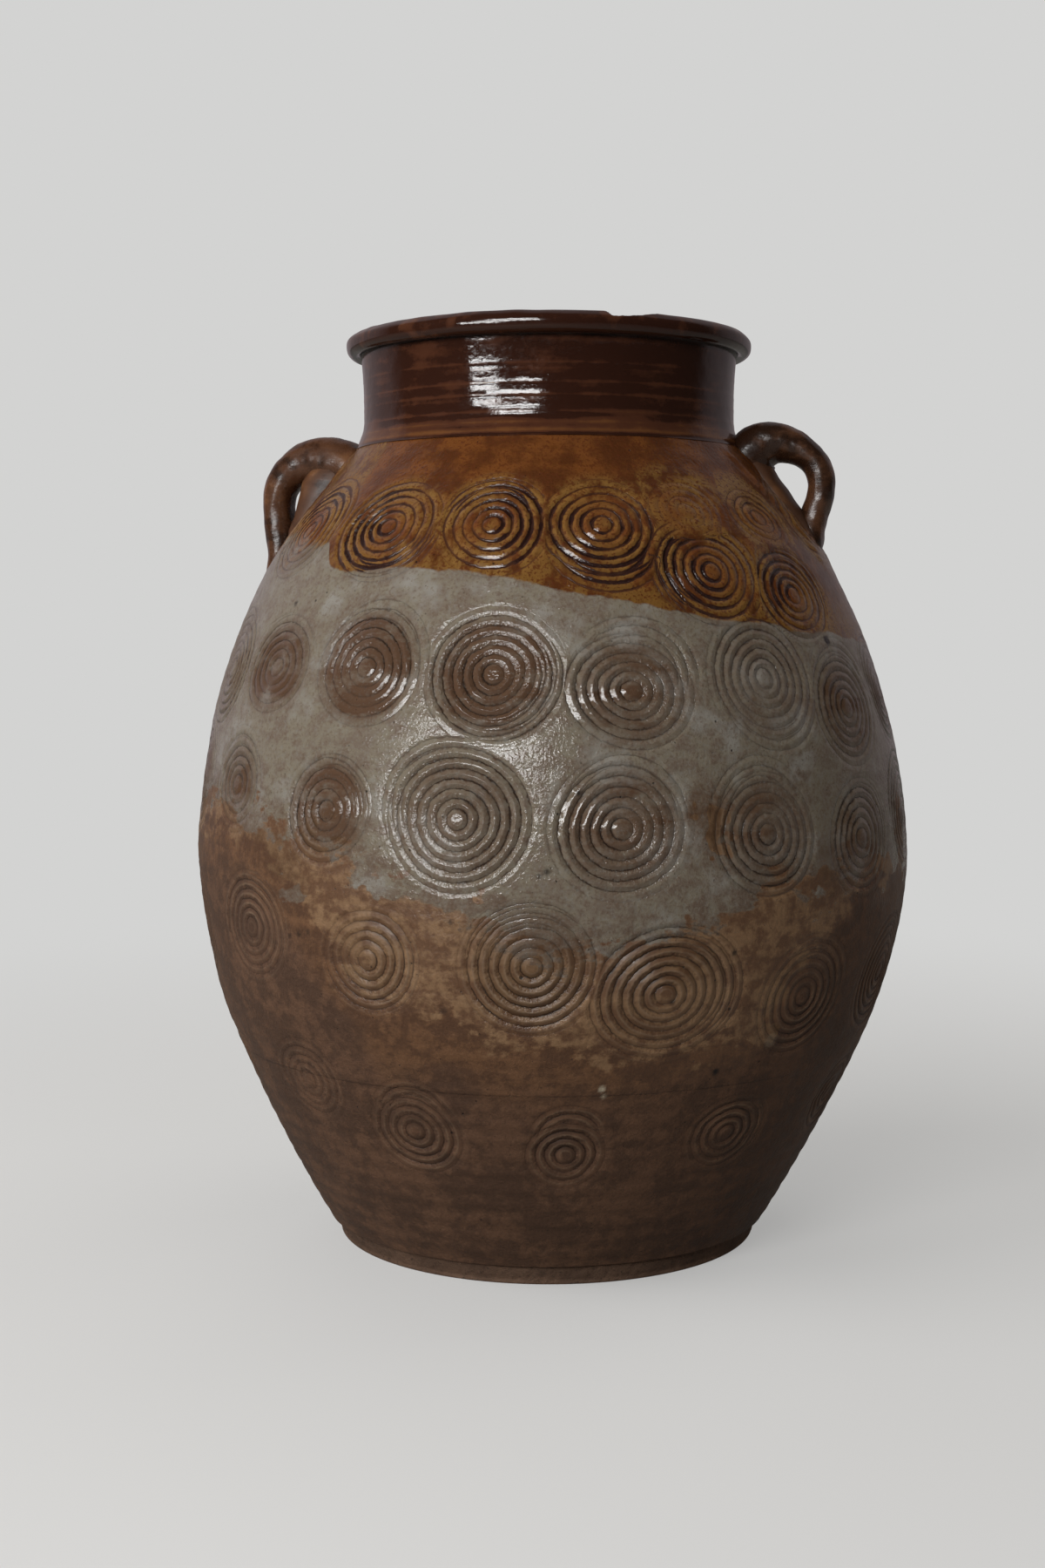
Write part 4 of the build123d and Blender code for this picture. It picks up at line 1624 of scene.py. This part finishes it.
@dataclass(frozen=True)
class BodyFinish:
    """Wood-fired stoneware under a dipped amber glaze and a runny ash glaze.

    The dip leaves a crisp tilted edge. The ash glaze is opaque grey where thick, brown where it
    drew thin in the stamps, and runs out through tan and rust into bare purple-brown clay.
    """

    amber: GlazeTones = GlazeTones("#683D1B", "#4D2A13", "#2B1814")
    amber_low: str = "#6F4E24"
    amber_ridge: str = "#7A592C"
    amber_ring: str = "#50301C"
    amber_dots: str = "#4E2813"
    amber_boss: str = "#6A3C1D"
    # Painted highlight: the pale tone laid along the stamps' ring crests on the clay, rust and tan
    crest: str = "#85705B"
    ash: GlazeTones = GlazeTones("#6C6054", "#766E60", "#33261D")
    ash_brown: str = "#543F30"
    # Pale grey of the thick ash patches, also the colour of the painted glints
    ash_pale: str = "#8A8780"
    ash_dots: str = "#4B3729"
    tan: GlazeTones = GlazeTones("#7E6247", "#5E432F", "#33241A")
    tan_brown: str = "#48331F"
    rust: GlazeTones = GlazeTones("#664831", "#503726", "#2C1C14")
    clay: GlazeTones = GlazeTones("#5F4636", "#4C382C", "#281B14")
    inside: GlazeTones = GlazeTones("#6A4A30", "#4A3121", "#2A1B13")
    speck: str = "#15100E"
    pale_fleck: str = "#A59A86"
    mottle_mm: float = 26.0
    grain_mm: float = 1.7
    wheel_line_mm: float = 2.4
    clay_roughness: float = 0.5
    rust_roughness: float = 0.38
    ash_roughness: float = 0.08
    amber_roughness: float = 0.13
    dry_specular: float = 0.25
    glazed_specular: float = 0.5
    ring_cut_mm: float = 1.9
    grain_depth_mm: float = 0.33
    swell_depth_mm: float = 0.3
    pit_depth_mm: float = 0.25

    def build(self) -> Material:
        """Make the material.

        Returns:
            The body's finish.
        """
        material, tree, held = new_material("dipped_stoneware_thrown_and_stamped", BODY_FIELDS)
        ground = Ground(tree, held, *clouds(
            tree, Cloud(self.mottle_mm, 3.0), Cloud(self.mottle_mm * 0.5, 4.0, 0.4),
            Cloud(self.mottle_mm * 0.8, 5.0, 2.3), Cloud(6.0, 4.0), Cloud(self.grain_mm, 2.0),
            Cloud(13.0, 2.0),
        ))
        wide, streak, small = ground.wide, ground.streak, ground.small
        rings = self._rings(ground)
        ragged = add(tree, "Math", (small, 0.5, streak), operation="MULTIPLY_ADD")
        ragged = add(tree, "Math", (ragged, 0.25), operation="SUBTRACT")
        amber_at, ash_at, tan_at, rust_at = (
            self._above(tree, held[what], noise, sway_mm, soft_mm)
            for what, noise, sway_mm, soft_mm in (
                (Field.AMBER, small, 3.0, 1.4), (Field.ASH, ragged, 52.0, 5.0),
                (Field.TAN, ragged, 40.0, 8.0), (Field.RUST, wide, 40.0, 30.0),
            )
        )
        clay, inside = (
            self._toned(tree, tones, wide, small, rings.groove)
            for tones in (self.clay, self.inside)
        )
        rust, tan = (
            self._toned(tree, tones, streak, small, rings.groove) for tones in (self.rust, self.tan)
        )
        deep = add(tree, "MapRange", (held[Field.TONE], 0.2, 1.0, 0.0, 0.8))
        # Painted highlight: half the crest share lays the pale crest tone along the stamps' ridges
        wear_and_painted_highlight = add(tree, "Math", (rings.crest, 0.5), operation="MULTIPLY")
        pits = specks_in(tree)
        specks = add(tree, "Math", (pits, 0.8), operation="MULTIPLY")
        specks = add(tree, "Math", (specks, held[Field.MARK]), operation="MAXIMUM", use_clamp=True)
        pale = add(tree, "Math", (held[Field.MARK], -1.0), operation="MULTIPLY", use_clamp=True)
        colour = coat(
            tree, clay, (rust_at, rust), (tan_at, coat(tree, tan, (deep, self.tan_brown))),
            (wear_and_painted_highlight, self.crest), (ash_at, self._ash(ground, rings)),
            (amber_at, self._amber(ground, rings)), (held[Field.INSIDE], inside),
            (specks, self.speck), (pale, self.pale_fleck),
        )
        grit = add(tree, "MapRange", (ground.grain, 0.3, 0.7, 0.88, 1.1))
        colour = add(tree, "VectorMath", {0: colour, "Scale": grit}, operation="SCALE")
        shine = add(tree, "MapRange", (rust_at, 0.0, 1.0, self.dry_specular, self.glazed_specular))
        end_surface(tree, self._height(ground, rings, pits, rust_at), {
            "Base Color": colour, "IOR": 1.5, "Specular IOR Level": shine,
            "Roughness": self._roughness(ground, rust_at, ash_at, amber_at),
        })
        return material

    @staticmethod
    def _above(tree: Tree, tide: Socket, noise: Socket, sway_mm: float, soft_mm: float) -> Socket:
        """1 above a tideline and 0 below, with a swaying, softened edge."""
        sway = add(tree, "Math", (noise, 0.5), operation="SUBTRACT")
        edge = add(tree, "Math", (sway, sway_mm, tide), operation="MULTIPLY_ADD")
        return add(tree, "MapRange", (edge, -soft_mm / 2, soft_mm / 2), **SOFT)

    @staticmethod
    def _toned(tree: Tree, tones: GlazeTones, wide: Socket, small: Socket, groove: Any) -> Socket:
        """A glaze's body colour, mottled with its thin tone and pooled in the grooves."""
        both = add(tree, "Math", (wide, small), operation="ADD")
        share = add(tree, "MapRange", (both, 0.86, 1.16), **SOFT)
        return coat(tree, tones.body, (share, tones.thin), (groove, tones.pooled))

    def _ash(self, ground: Ground, rings: Rings) -> Socket:
        """The ash glaze: grey where thick, brown where it drew thin, flecked all over, with painted
        glints.

        Args:
            ground: The fields and patterns that the body is painted from.
            rings: The stamps' rings.

        Returns:
            The ash glaze's colour.
        """
        tree, held, small = ground.tree, ground.held, ground.small
        base = self._toned(tree, self.ash, ground.streak, small, rings.groove)
        pale = add(tree, "MapRange", (ground.wide, 0.5, 0.72, 0.0, 0.8), **SOFT)
        uneven = add(tree, "MapRange", (ground.streak, 0.36, 0.64, 1.9, 0.45))
        brown = add(tree, "Math", (held[Field.TONE], uneven), operation="MULTIPLY", use_clamp=True)
        low = add(tree, "MapRange", (held[Field.ASH], 22.0, 2.0, 0.0, 0.55))
        cloud = add(tree, "MapRange", (small, 0.42, 0.62))
        low = add(tree, "Math", (low, cloud), operation="MULTIPLY")
        brown = add(tree, "Math", (brown, low), operation="MAXIMUM")
        toned = coat(tree, self.ash_brown, (rings.groove, self.ash.pooled))
        dots = add(tree, "MapRange", (ground.grain, 0.53, 0.64, 0.0, 0.42))
        # Painted glints: small pale spots where the fine grain is low, kept mostly off the brown
        painted_glints = add(tree, "MapRange", (ground.grain, 0.44, 0.36, 0.0, 0.3))
        grey = add(tree, "MapRange", (brown, 0.0, 1.0, 1.0, 0.3))
        painted_glints = add(tree, "Math", (painted_glints, grey), operation="MULTIPLY")
        return coat(tree, base, (pale, self.ash_pale), (brown, toned), (dots, self.ash_dots),
                    (painted_glints, self.ash_pale))

    def _amber(self, ground: Ground, rings: Rings) -> Socket:
        """The amber dip: ochre near its edge and round the stamps, dark in their grooves.

        Args:
            ground: The fields and patterns that the body is painted from.
            rings: The stamps' rings.

        Returns:
            The amber glaze's colour.
        """
        tree, strike = ground.tree, ground.held[Field.STRIKE]
        base = self._toned(tree, self.amber, ground.streak, ground.drip, 0.0)
        cloud = add(tree, "MapRange", (ground.drip, 0.4, 0.53))
        ruddy = add(tree, "MapRange", (ground.streak, 0.38, 0.56, 0.25))
        low = add(tree, "MapRange", (ground.held[Field.AMBER], 34.0, 3.0), **SOFT)
        halo = add(tree, "MapRange", (strike, 37.0, 26.0, 0.0, 0.95), **SOFT)
        boss = add(tree, "MapRange", (strike, 27.0, 7.0, 0.0, 0.72))
        low, halo, boss = (
            add(tree, "Math", pair, operation="MULTIPLY")
            for pair in ((low, cloud), (halo, cloud), (boss, ruddy))
        )
        dots = add(tree, "MapRange", (ground.grain, 0.53, 0.61, 0.0, 0.85))
        deep = add(tree, "MapRange", (rings.bite, 0.35, 0.95))
        ring = coat(tree, self.amber_ring, (deep, self.amber.pooled))
        return coat(tree, base, (low, self.amber_low), (halo, self.amber_ridge),
                    (boss, self.amber_boss), (dots, self.amber_dots), (rings.pool, ring))

    @staticmethod
    def _rings(ground: Ground) -> Rings:
        """Crisp stamp rings: pooled groove, how hard it bit, fine line, crest and relief.

        Args:
            ground: The fields and patterns that the body is painted from.

        Returns:
            The rings of both presses together.
        """
        tree, held, small = ground.tree, ground.held, ground.small
        strength = add(tree, "MapRange", (ground.wear, 0.36, 0.6, 0.5, 1.1))
        fade = add(tree, "MapRange", (small, 0.35, 0.6, 0.03, 0.24))
        presses = []
        for distance, hold in (
            (held[Field.STRIKE], held[Field.HOLD]), (held[Field.RESTRIKE], held[Field.REHOLD]),
        ):
            wear_and_painted_highlight = add(tree, "Math", (small, 1.6, distance), operation="MULTIPLY_ADD")
            wear_and_painted_highlight = add(tree, "Math", (ground.grain, 0.9, wear_and_painted_highlight), operation="MULTIPLY_ADD")
            phase = add(tree, "Math", (wear_and_painted_highlight, BOSS_RADIUS + 1.25), operation="SUBTRACT")
            phase = add(tree, "Math", (phase, RING_PITCH), operation="DIVIDE")
            off = add(tree, "Math", (phase, 0.5), operation="PINGPONG")
            boss = add(tree, "MapRange", (phase, -0.6, -0.35))
            held_by = add(tree, "Math", (hold, boss), operation="MULTIPLY")
            bite = add(tree, "Math", (held_by, strength), operation="MULTIPLY")
            reach = add(tree, "MapRange", (bite, 0.1, 1.1, 0.04, 0.27))
            gap = add(tree, "Math", (reach, off), operation="SUBTRACT")
            pool = add(tree, "MapRange", (gap, -0.05, 0.05), **SOFT)
            full = add(tree, "MapRange", (bite, 0.03, 0.4))
            line = add(tree, "MapRange", (off, fade, 0.0), **SOFT)
            top = add(tree, "MapRange", (off, 0.3, 0.48), **SOFT)
            # The relief is deepest in the middle of a groove, and comes to a crest between two
            cusp = add(tree, "Math", (off, 0.5), operation="MULTIPLY")
            cusp = add(tree, "Math", (cusp, 0.5), operation="POWER")
            cusp = add(tree, "Math", (0.5, cusp), operation="SUBTRACT")
            pool, line, crest, relief = (
                add(tree, "Math", pair, operation="MULTIPLY")
                for pair in ((pool, full), (line, bite), (top, bite), (cusp, held_by))
            )
            presses.append((pool, bite, line, crest, relief))
        return Rings(*(
            add(tree, "Math", pair, operation="MAXIMUM", use_clamp=True) for pair in zip(*presses)
        ))

    def _roughness(
        self, ground: Ground, rust_at: Socket, ash_at: Socket, amber_at: Socket
    ) -> Socket:
        """Satin amber and ash glazes over dull, dry clay.

        Args:
            ground: The fields and patterns that the body is painted from.
            rust_at: Where the rust begins.
            ash_at: Where the ash lies.
            amber_at: Where the amber lies.

        Returns:
            The roughness.
        """
        rough = self.clay_roughness
        for share, roughness in (
            (rust_at, self.rust_roughness), (ash_at, self.ash_roughness),
            (amber_at, self.amber_roughness), (ground.held[Field.INSIDE], self.clay_roughness),
        ):
            rough = add(ground.tree, "Mix", {0: share, 2: rough, 3: roughness})
        sway = add(ground.tree, "MapRange", (ground.small, 0.3, 0.7, -0.04, 0.08))
        return add(ground.tree, "Math", (rough, sway), operation="ADD", use_clamp=True)

    def _height(self, ground: Ground, rings: Rings, pits: Socket, rust_at: Socket) -> Socket:
        """The fine relief in millimetres: ring cuts, glaze texture, pits and wheel lines.

        Args:
            ground: The fields and patterns that the body is painted from.
            rings: The stamps' rings.
            pits: The specks and pits.
            rust_at: Where the rust begins.

        Returns:
            The height in millimetres.
        """
        tree = ground.tree
        place = add(tree, "TexCoord", out="Object")
        level = add(tree, "VectorMath", (place, (0.06, 0.06, 1.0)), operation="MULTIPLY")
        lines = add(tree, "TexNoise", {
            "Vector": level, "Scale": 1.0 / (self.wheel_line_mm * MM), "Detail": 2.0,
        })
        line_depth = add(tree, "MapRange", (rust_at, 0.0, 1.0, 0.1, 0.05))
        return piled(
            tree, (rings.relief, -self.ring_cut_mm), (ground.grain, self.grain_depth_mm),
            (ground.small, self.swell_depth_mm), (pits, -self.pit_depth_mm), (lines, line_depth),
        )


@dataclass(frozen=True)
class IronGlaze:
    """A glossy iron-brown glaze over the neck, rim and lugs.

    It lies nearly black-red where thick and breaks to amber on ridges and edges, and its wet
    gloss carries sharp reflections, broken by small pits.
    """

    name: str
    deep: str = "#2E1810"
    body: str = "#47291B"
    amber: str = "#613D22"
    bare: str = "#4A3326"
    inner: str = "#2C1B12"
    roughness: float = 0.075
    bare_roughness: float = 0.6
    unevenness: float = 0.36
    swell_mm: float = 0.08
    mottle_mm: float = 18.0

    def build(self) -> Material:
        """Make the material.

        Returns:
            The glaze.
        """
        material, tree, held = new_material(self.name, IRON_FIELDS)
        wide, fine, lumps = clouds(
            tree, Cloud(self.mottle_mm, 4.0, 2.2), Cloud(2.4, 3.0), Cloud(5.0, 2.0)
        )
        film = piled(tree, (held[Field.THIN], 1.0), (wide, 1.3), (fine, 0.35))
        broken = held[Field.BREAK]
        colour = coat(
            tree, self.deep,
            (add(tree, "MapRange", (film, 0.55, 1.0), **SOFT), self.body),
            (add(tree, "MapRange", (film, 1.05, 1.75), **SOFT), self.amber),
            (held[Field.INSIDE], self.inner), (broken, self.bare),
        )
        dull = add(tree, "MapRange", (fine, 0.45, 0.75, self.roughness, self.roughness + 0.1))
        rough = add(tree, "Mix", {0: broken, 2: dull, 3: self.bare_roughness})
        height = piled(
            tree, (fine, 0.13 * self.unevenness), (lumps, 0.22 * self.unevenness),
            (specks_in(tree), -0.15 * self.unevenness), (wide, self.swell_mm),
        )
        end_surface(tree, height, {"Base Color": colour, "Roughness": rough, "IOR": 1.52})
        return material


@dataclass(frozen=True)
class BareClay:
    """Unglazed stoneware of the slab, wiped and gritty, so it is dull and slightly pale."""

    name: str = "bare_stoneware_wiped"
    thin: str = "#664E3D"
    body: str = "#533E30"
    dark: str = "#2C2019"
    roughness: float = 0.82
    grit_depth_mm: float = 0.5

    def build(self) -> Material:
        """Make the material.

        Returns:
            The clay.
        """
        material, tree, _ = new_material(self.name, ())
        wide, grit = clouds(tree, Cloud(22.0, 4.0), Cloud(1.8, 4.0))
        colour = coat(
            tree, self.body, (add(tree, "MapRange", (wide, 0.35, 0.65)), self.thin),
            (add(tree, "MapRange", (grit, 0.55, 0.75)), self.dark),
        )
        end_surface(tree, piled(tree, (grit, self.grit_depth_mm)),
                    {"Base Color": colour, "Roughness": self.roughness})
        return material


@dataclass(frozen=True)
class SoftLight:
    """A soft rectangular light, by where it stands round the jar."""

    name: str
    azimuth: float
    elevation: float
    distance: float
    size: tuple[float, float]
    power: float
    mirrored: bool
    aim_height: float = 0.28

    def build(self) -> None:
        """Hang the light, turned towards the jar."""
        light = bpy.data.lights.new(self.name, "AREA")
        light.shape = "RECTANGLE"
        light.size, light.size_y = self.size
        light.energy = self.power
        lamp = bpy.data.objects.new(self.name, light)
        lamp.visible_glossy = self.mirrored
        turn, rise = math.radians(self.azimuth), math.radians(self.elevation)
        level = math.cos(rise)
        heading = Vector((math.sin(turn) * level, -math.cos(turn) * level, math.sin(rise)))
        lamp.location = heading * self.distance + Vector((0.0, 0.0, self.aim_height))
        lamp.rotation_euler = heading.to_track_quat("Z", "Y").to_euler()
        bpy.context.scene.collection.objects.link(lamp)


# A soft window in three panes at the front left, and the room's weaker bounce
LIGHTS = (
    SoftLight("window_top", -21.0, 24.2, 1.9, (0.7, 0.16), 6.8, True),
    SoftLight("window_middle", -22.0, 16.4, 1.9, (1.0, 0.17), 10.4, True),
    SoftLight("window_sill", -38.0, 10.4, 1.9, (0.55, 0.11), 3.8, True),
    SoftLight("wall_bounce", -68.0, 30.0, 2.6, (1.9, 1.7), 38.0, False),
    SoftLight("overhead", 0.0, 80.0, 2.6, (2.4, 2.4), 8.0, False),
    SoftLight("room_right", 125.0, 28.0, 2.6, (1.9, 1.7), 15.0, False),
    SoftLight("room_behind", -165.0, 28.0, 2.6, (1.9, 1.7), 15.0, False),
)


@dataclass(frozen=True)
class Studio:
    """The plain pale floor, the pale surround, the soft lights and the camera."""

    floor_tone: str = "#D9D8D6"
    wall_tone: str = "#D3D3D2"
    floor_bounce: str = "#736C64"
    room_tone: str = "#FFF4E8"
    mirrored_tone: str = "#D2C4C8"
    floor_size: float = 12.0
    floor_near: float = 0.3
    floor_far: float = 1.25
    floor_glow: float = 0.5
    fill: float = 0.13
    mirrored_room: float = 0.03
    mirrored_floor: float = 0.15
    mirrored_right: float = 0.28
    mirrored_left: float = 0.46
    lens: float = 47.0
    sensor: float = 36.0
    distance: float = 1.1541
    eye_height: float = 0.3412
    pitch: float = 4.469
    axis_offset_px: float = 34.0
    mm_per_px: float = 0.49111

    def build(self) -> None:
        """Make the whole stage."""
        self._floor()
        self._surround()
        for light in LIGHTS:
            light.build()
        self._camera()
        bpy.context.scene.view_settings.view_transform = "Standard"

    @staticmethod
    def _rays(tree: Tree) -> tuple[Socket, Socket]:
        """1 for what the camera sees, and 1 for what gloss mirrors.

        Args:
            tree: The floor's or the world's tree.

        Returns:
            The two shares.
        """
        path = add(tree, "LightPath", out=None)
        glossy = add(tree, "Math", (path["Is Glossy Ray"], path["Is Transmission Ray"]),
                     operation="MAXIMUM")
        return path["Is Camera Ray"], glossy

    def _floor(self) -> None:
        """A wide pale floor that shows the jar's shadow and throws little light back up."""
        shape = bmesh.new()
        bmesh.ops.create_grid(shape, x_segments=2, y_segments=2, size=self.floor_size / 2)
        mesh = bpy.data.meshes.new("floor")
        shape.to_mesh(mesh)
        shape.free()
        material, tree, _ = new_material("pale_matt_floor", ())
        camera, glossy = self._rays(tree)
        mirrored = add(tree, "Math", (glossy, self.mirrored_floor), operation="MULTIPLY")
        seen = add(tree, "Math", (camera, mirrored), operation="MAXIMUM")
        place = add(tree, "TexCoord", out="Object")
        far = add(tree, "VectorMath", (place,), out="Value", operation="LENGTH")
        far = add(tree, "MapRange", (far, self.floor_near, self.floor_far, self.floor_glow), **SOFT)
        pale = add(tree, "BsdfDiffuse", (self.floor_tone,))
        glow = add(tree, "Emission", (self.wall_tone,))
        shown = add(tree, "MixShader", (far, pale, glow))
        dim = add(tree, "BsdfDiffuse", (self.floor_bounce,))
        add(tree, "OutputMaterial", (add(tree, "MixShader", (seen, dim, shown)),))
        mesh.materials.append(material)
        floor = bpy.data.objects.new("floor", mesh)
        bpy.context.scene.collection.objects.link(floor)

    def _surround(self) -> None:
        """A pale surround to the eye, and behind the jar in its gloss; a dim room in front."""
        world = bpy.data.worlds.new("surround")
        world.use_nodes = True
        tree = world.node_tree
        tree.nodes.clear()
        camera, glossy = self._rays(tree)
        heading = add(tree, "SeparateXYZ", (add(tree, "TexCoord", out="Generated"),), out=None)
        mirror = add(tree, "MapRange", (heading["Y"], 0.15, 0.45), **SOFT)
        left = add(tree, "MapRange",
                   (heading["X"], 0.3, -0.3, self.mirrored_right, self.mirrored_left))
        for part in (glossy, left):
            mirror = add(tree, "Math", (mirror, part), operation="MULTIPLY")
        room = add(tree, "MapRange", (glossy, 0.0, 1.0, self.fill, self.mirrored_room))
        seen = add(tree, "Math", (camera, mirror), operation="MAXIMUM")
        tone = coat(tree, self.mirrored_tone, (camera, self.wall_tone))
        pale = add(tree, "Background", (tone, 1.0))
        dim = add(tree, "Background", (self.room_tone, room))
        add(tree, "OutputWorld", (add(tree, "MixShader", (seen, dim, pale)),))
        bpy.context.scene.world = world

    def _camera(self) -> None:
        """The camera, at the photograph's place and with its lens."""
        view = bpy.data.cameras.new("camera")
        view.lens, view.sensor_width = self.lens, self.sensor
        camera = bpy.data.objects.new("camera", view)
        aside = -self.axis_offset_px * self.mm_per_px * MM
        camera.location = (aside, -self.distance, self.eye_height)
        camera.rotation_euler = (math.radians(90.0 - self.pitch), 0.0, 0.0)
        bpy.context.scene.collection.objects.link(camera)
        bpy.context.scene.camera = camera


def main() -> None:
    """Load the frame, build every piece and set the stage."""
    logging.basicConfig(level=logging.INFO, format="%(relativeCreated)6d ms %(message)s")
    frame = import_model()
    form = BodyForm(frame["nodes"])
    press = StampPress(form)
    body = BodyFinish().build()
    iron = IronGlaze("iron_glaze_wet_gloss").build()
    loop_iron, pad_iron = (
        IronGlaze(name, "#2C1A10", "#4E3221", "#6E492C", roughness=roughness,
                  unevenness=unevenness, swell_mm=swell_mm).build()
        for name, roughness, unevenness, swell_mm in (
            ("iron_glaze_on_pulled_clay", 0.25, 0.08, 0.5),
            ("iron_glaze_thin_on_smeared_clay", 0.45, 0.3, 0.4),
        )
    )
    BaseDisc().build(BareClay().build())
    for name, slot in (
        ("foot_wall", Slot.BARE), ("lower_belly_wall", Slot.ASH),
        ("upper_belly_wall", Slot.ASH), ("shoulder_wall", Slot.AMBER),
    ):
        BodyWall(name, slot, form, press).build(body)
    Neck(form).build(iron)
    Rim().build(iron)
    for lug in (
        Lug(form, "right", 79.0, 432.0, 368.0, 27.0, 15.4, 23.0, RIGHT_STATION_SHARES, 44.0,
            RIGHT_PAD_LIFTS, 71),
        Lug(form, "left", -103.0, 432.0, 362.0, 32.0, 17.2, 26.0, LEFT_STATION_SHARES, 40.0,
            LEFT_PAD_LIFTS, 81),
    ):
        lug.build_loop(loop_iron)
        lug.build_pad(pad_iron)
    Studio().build()


if __name__ == "__main__":
    main()
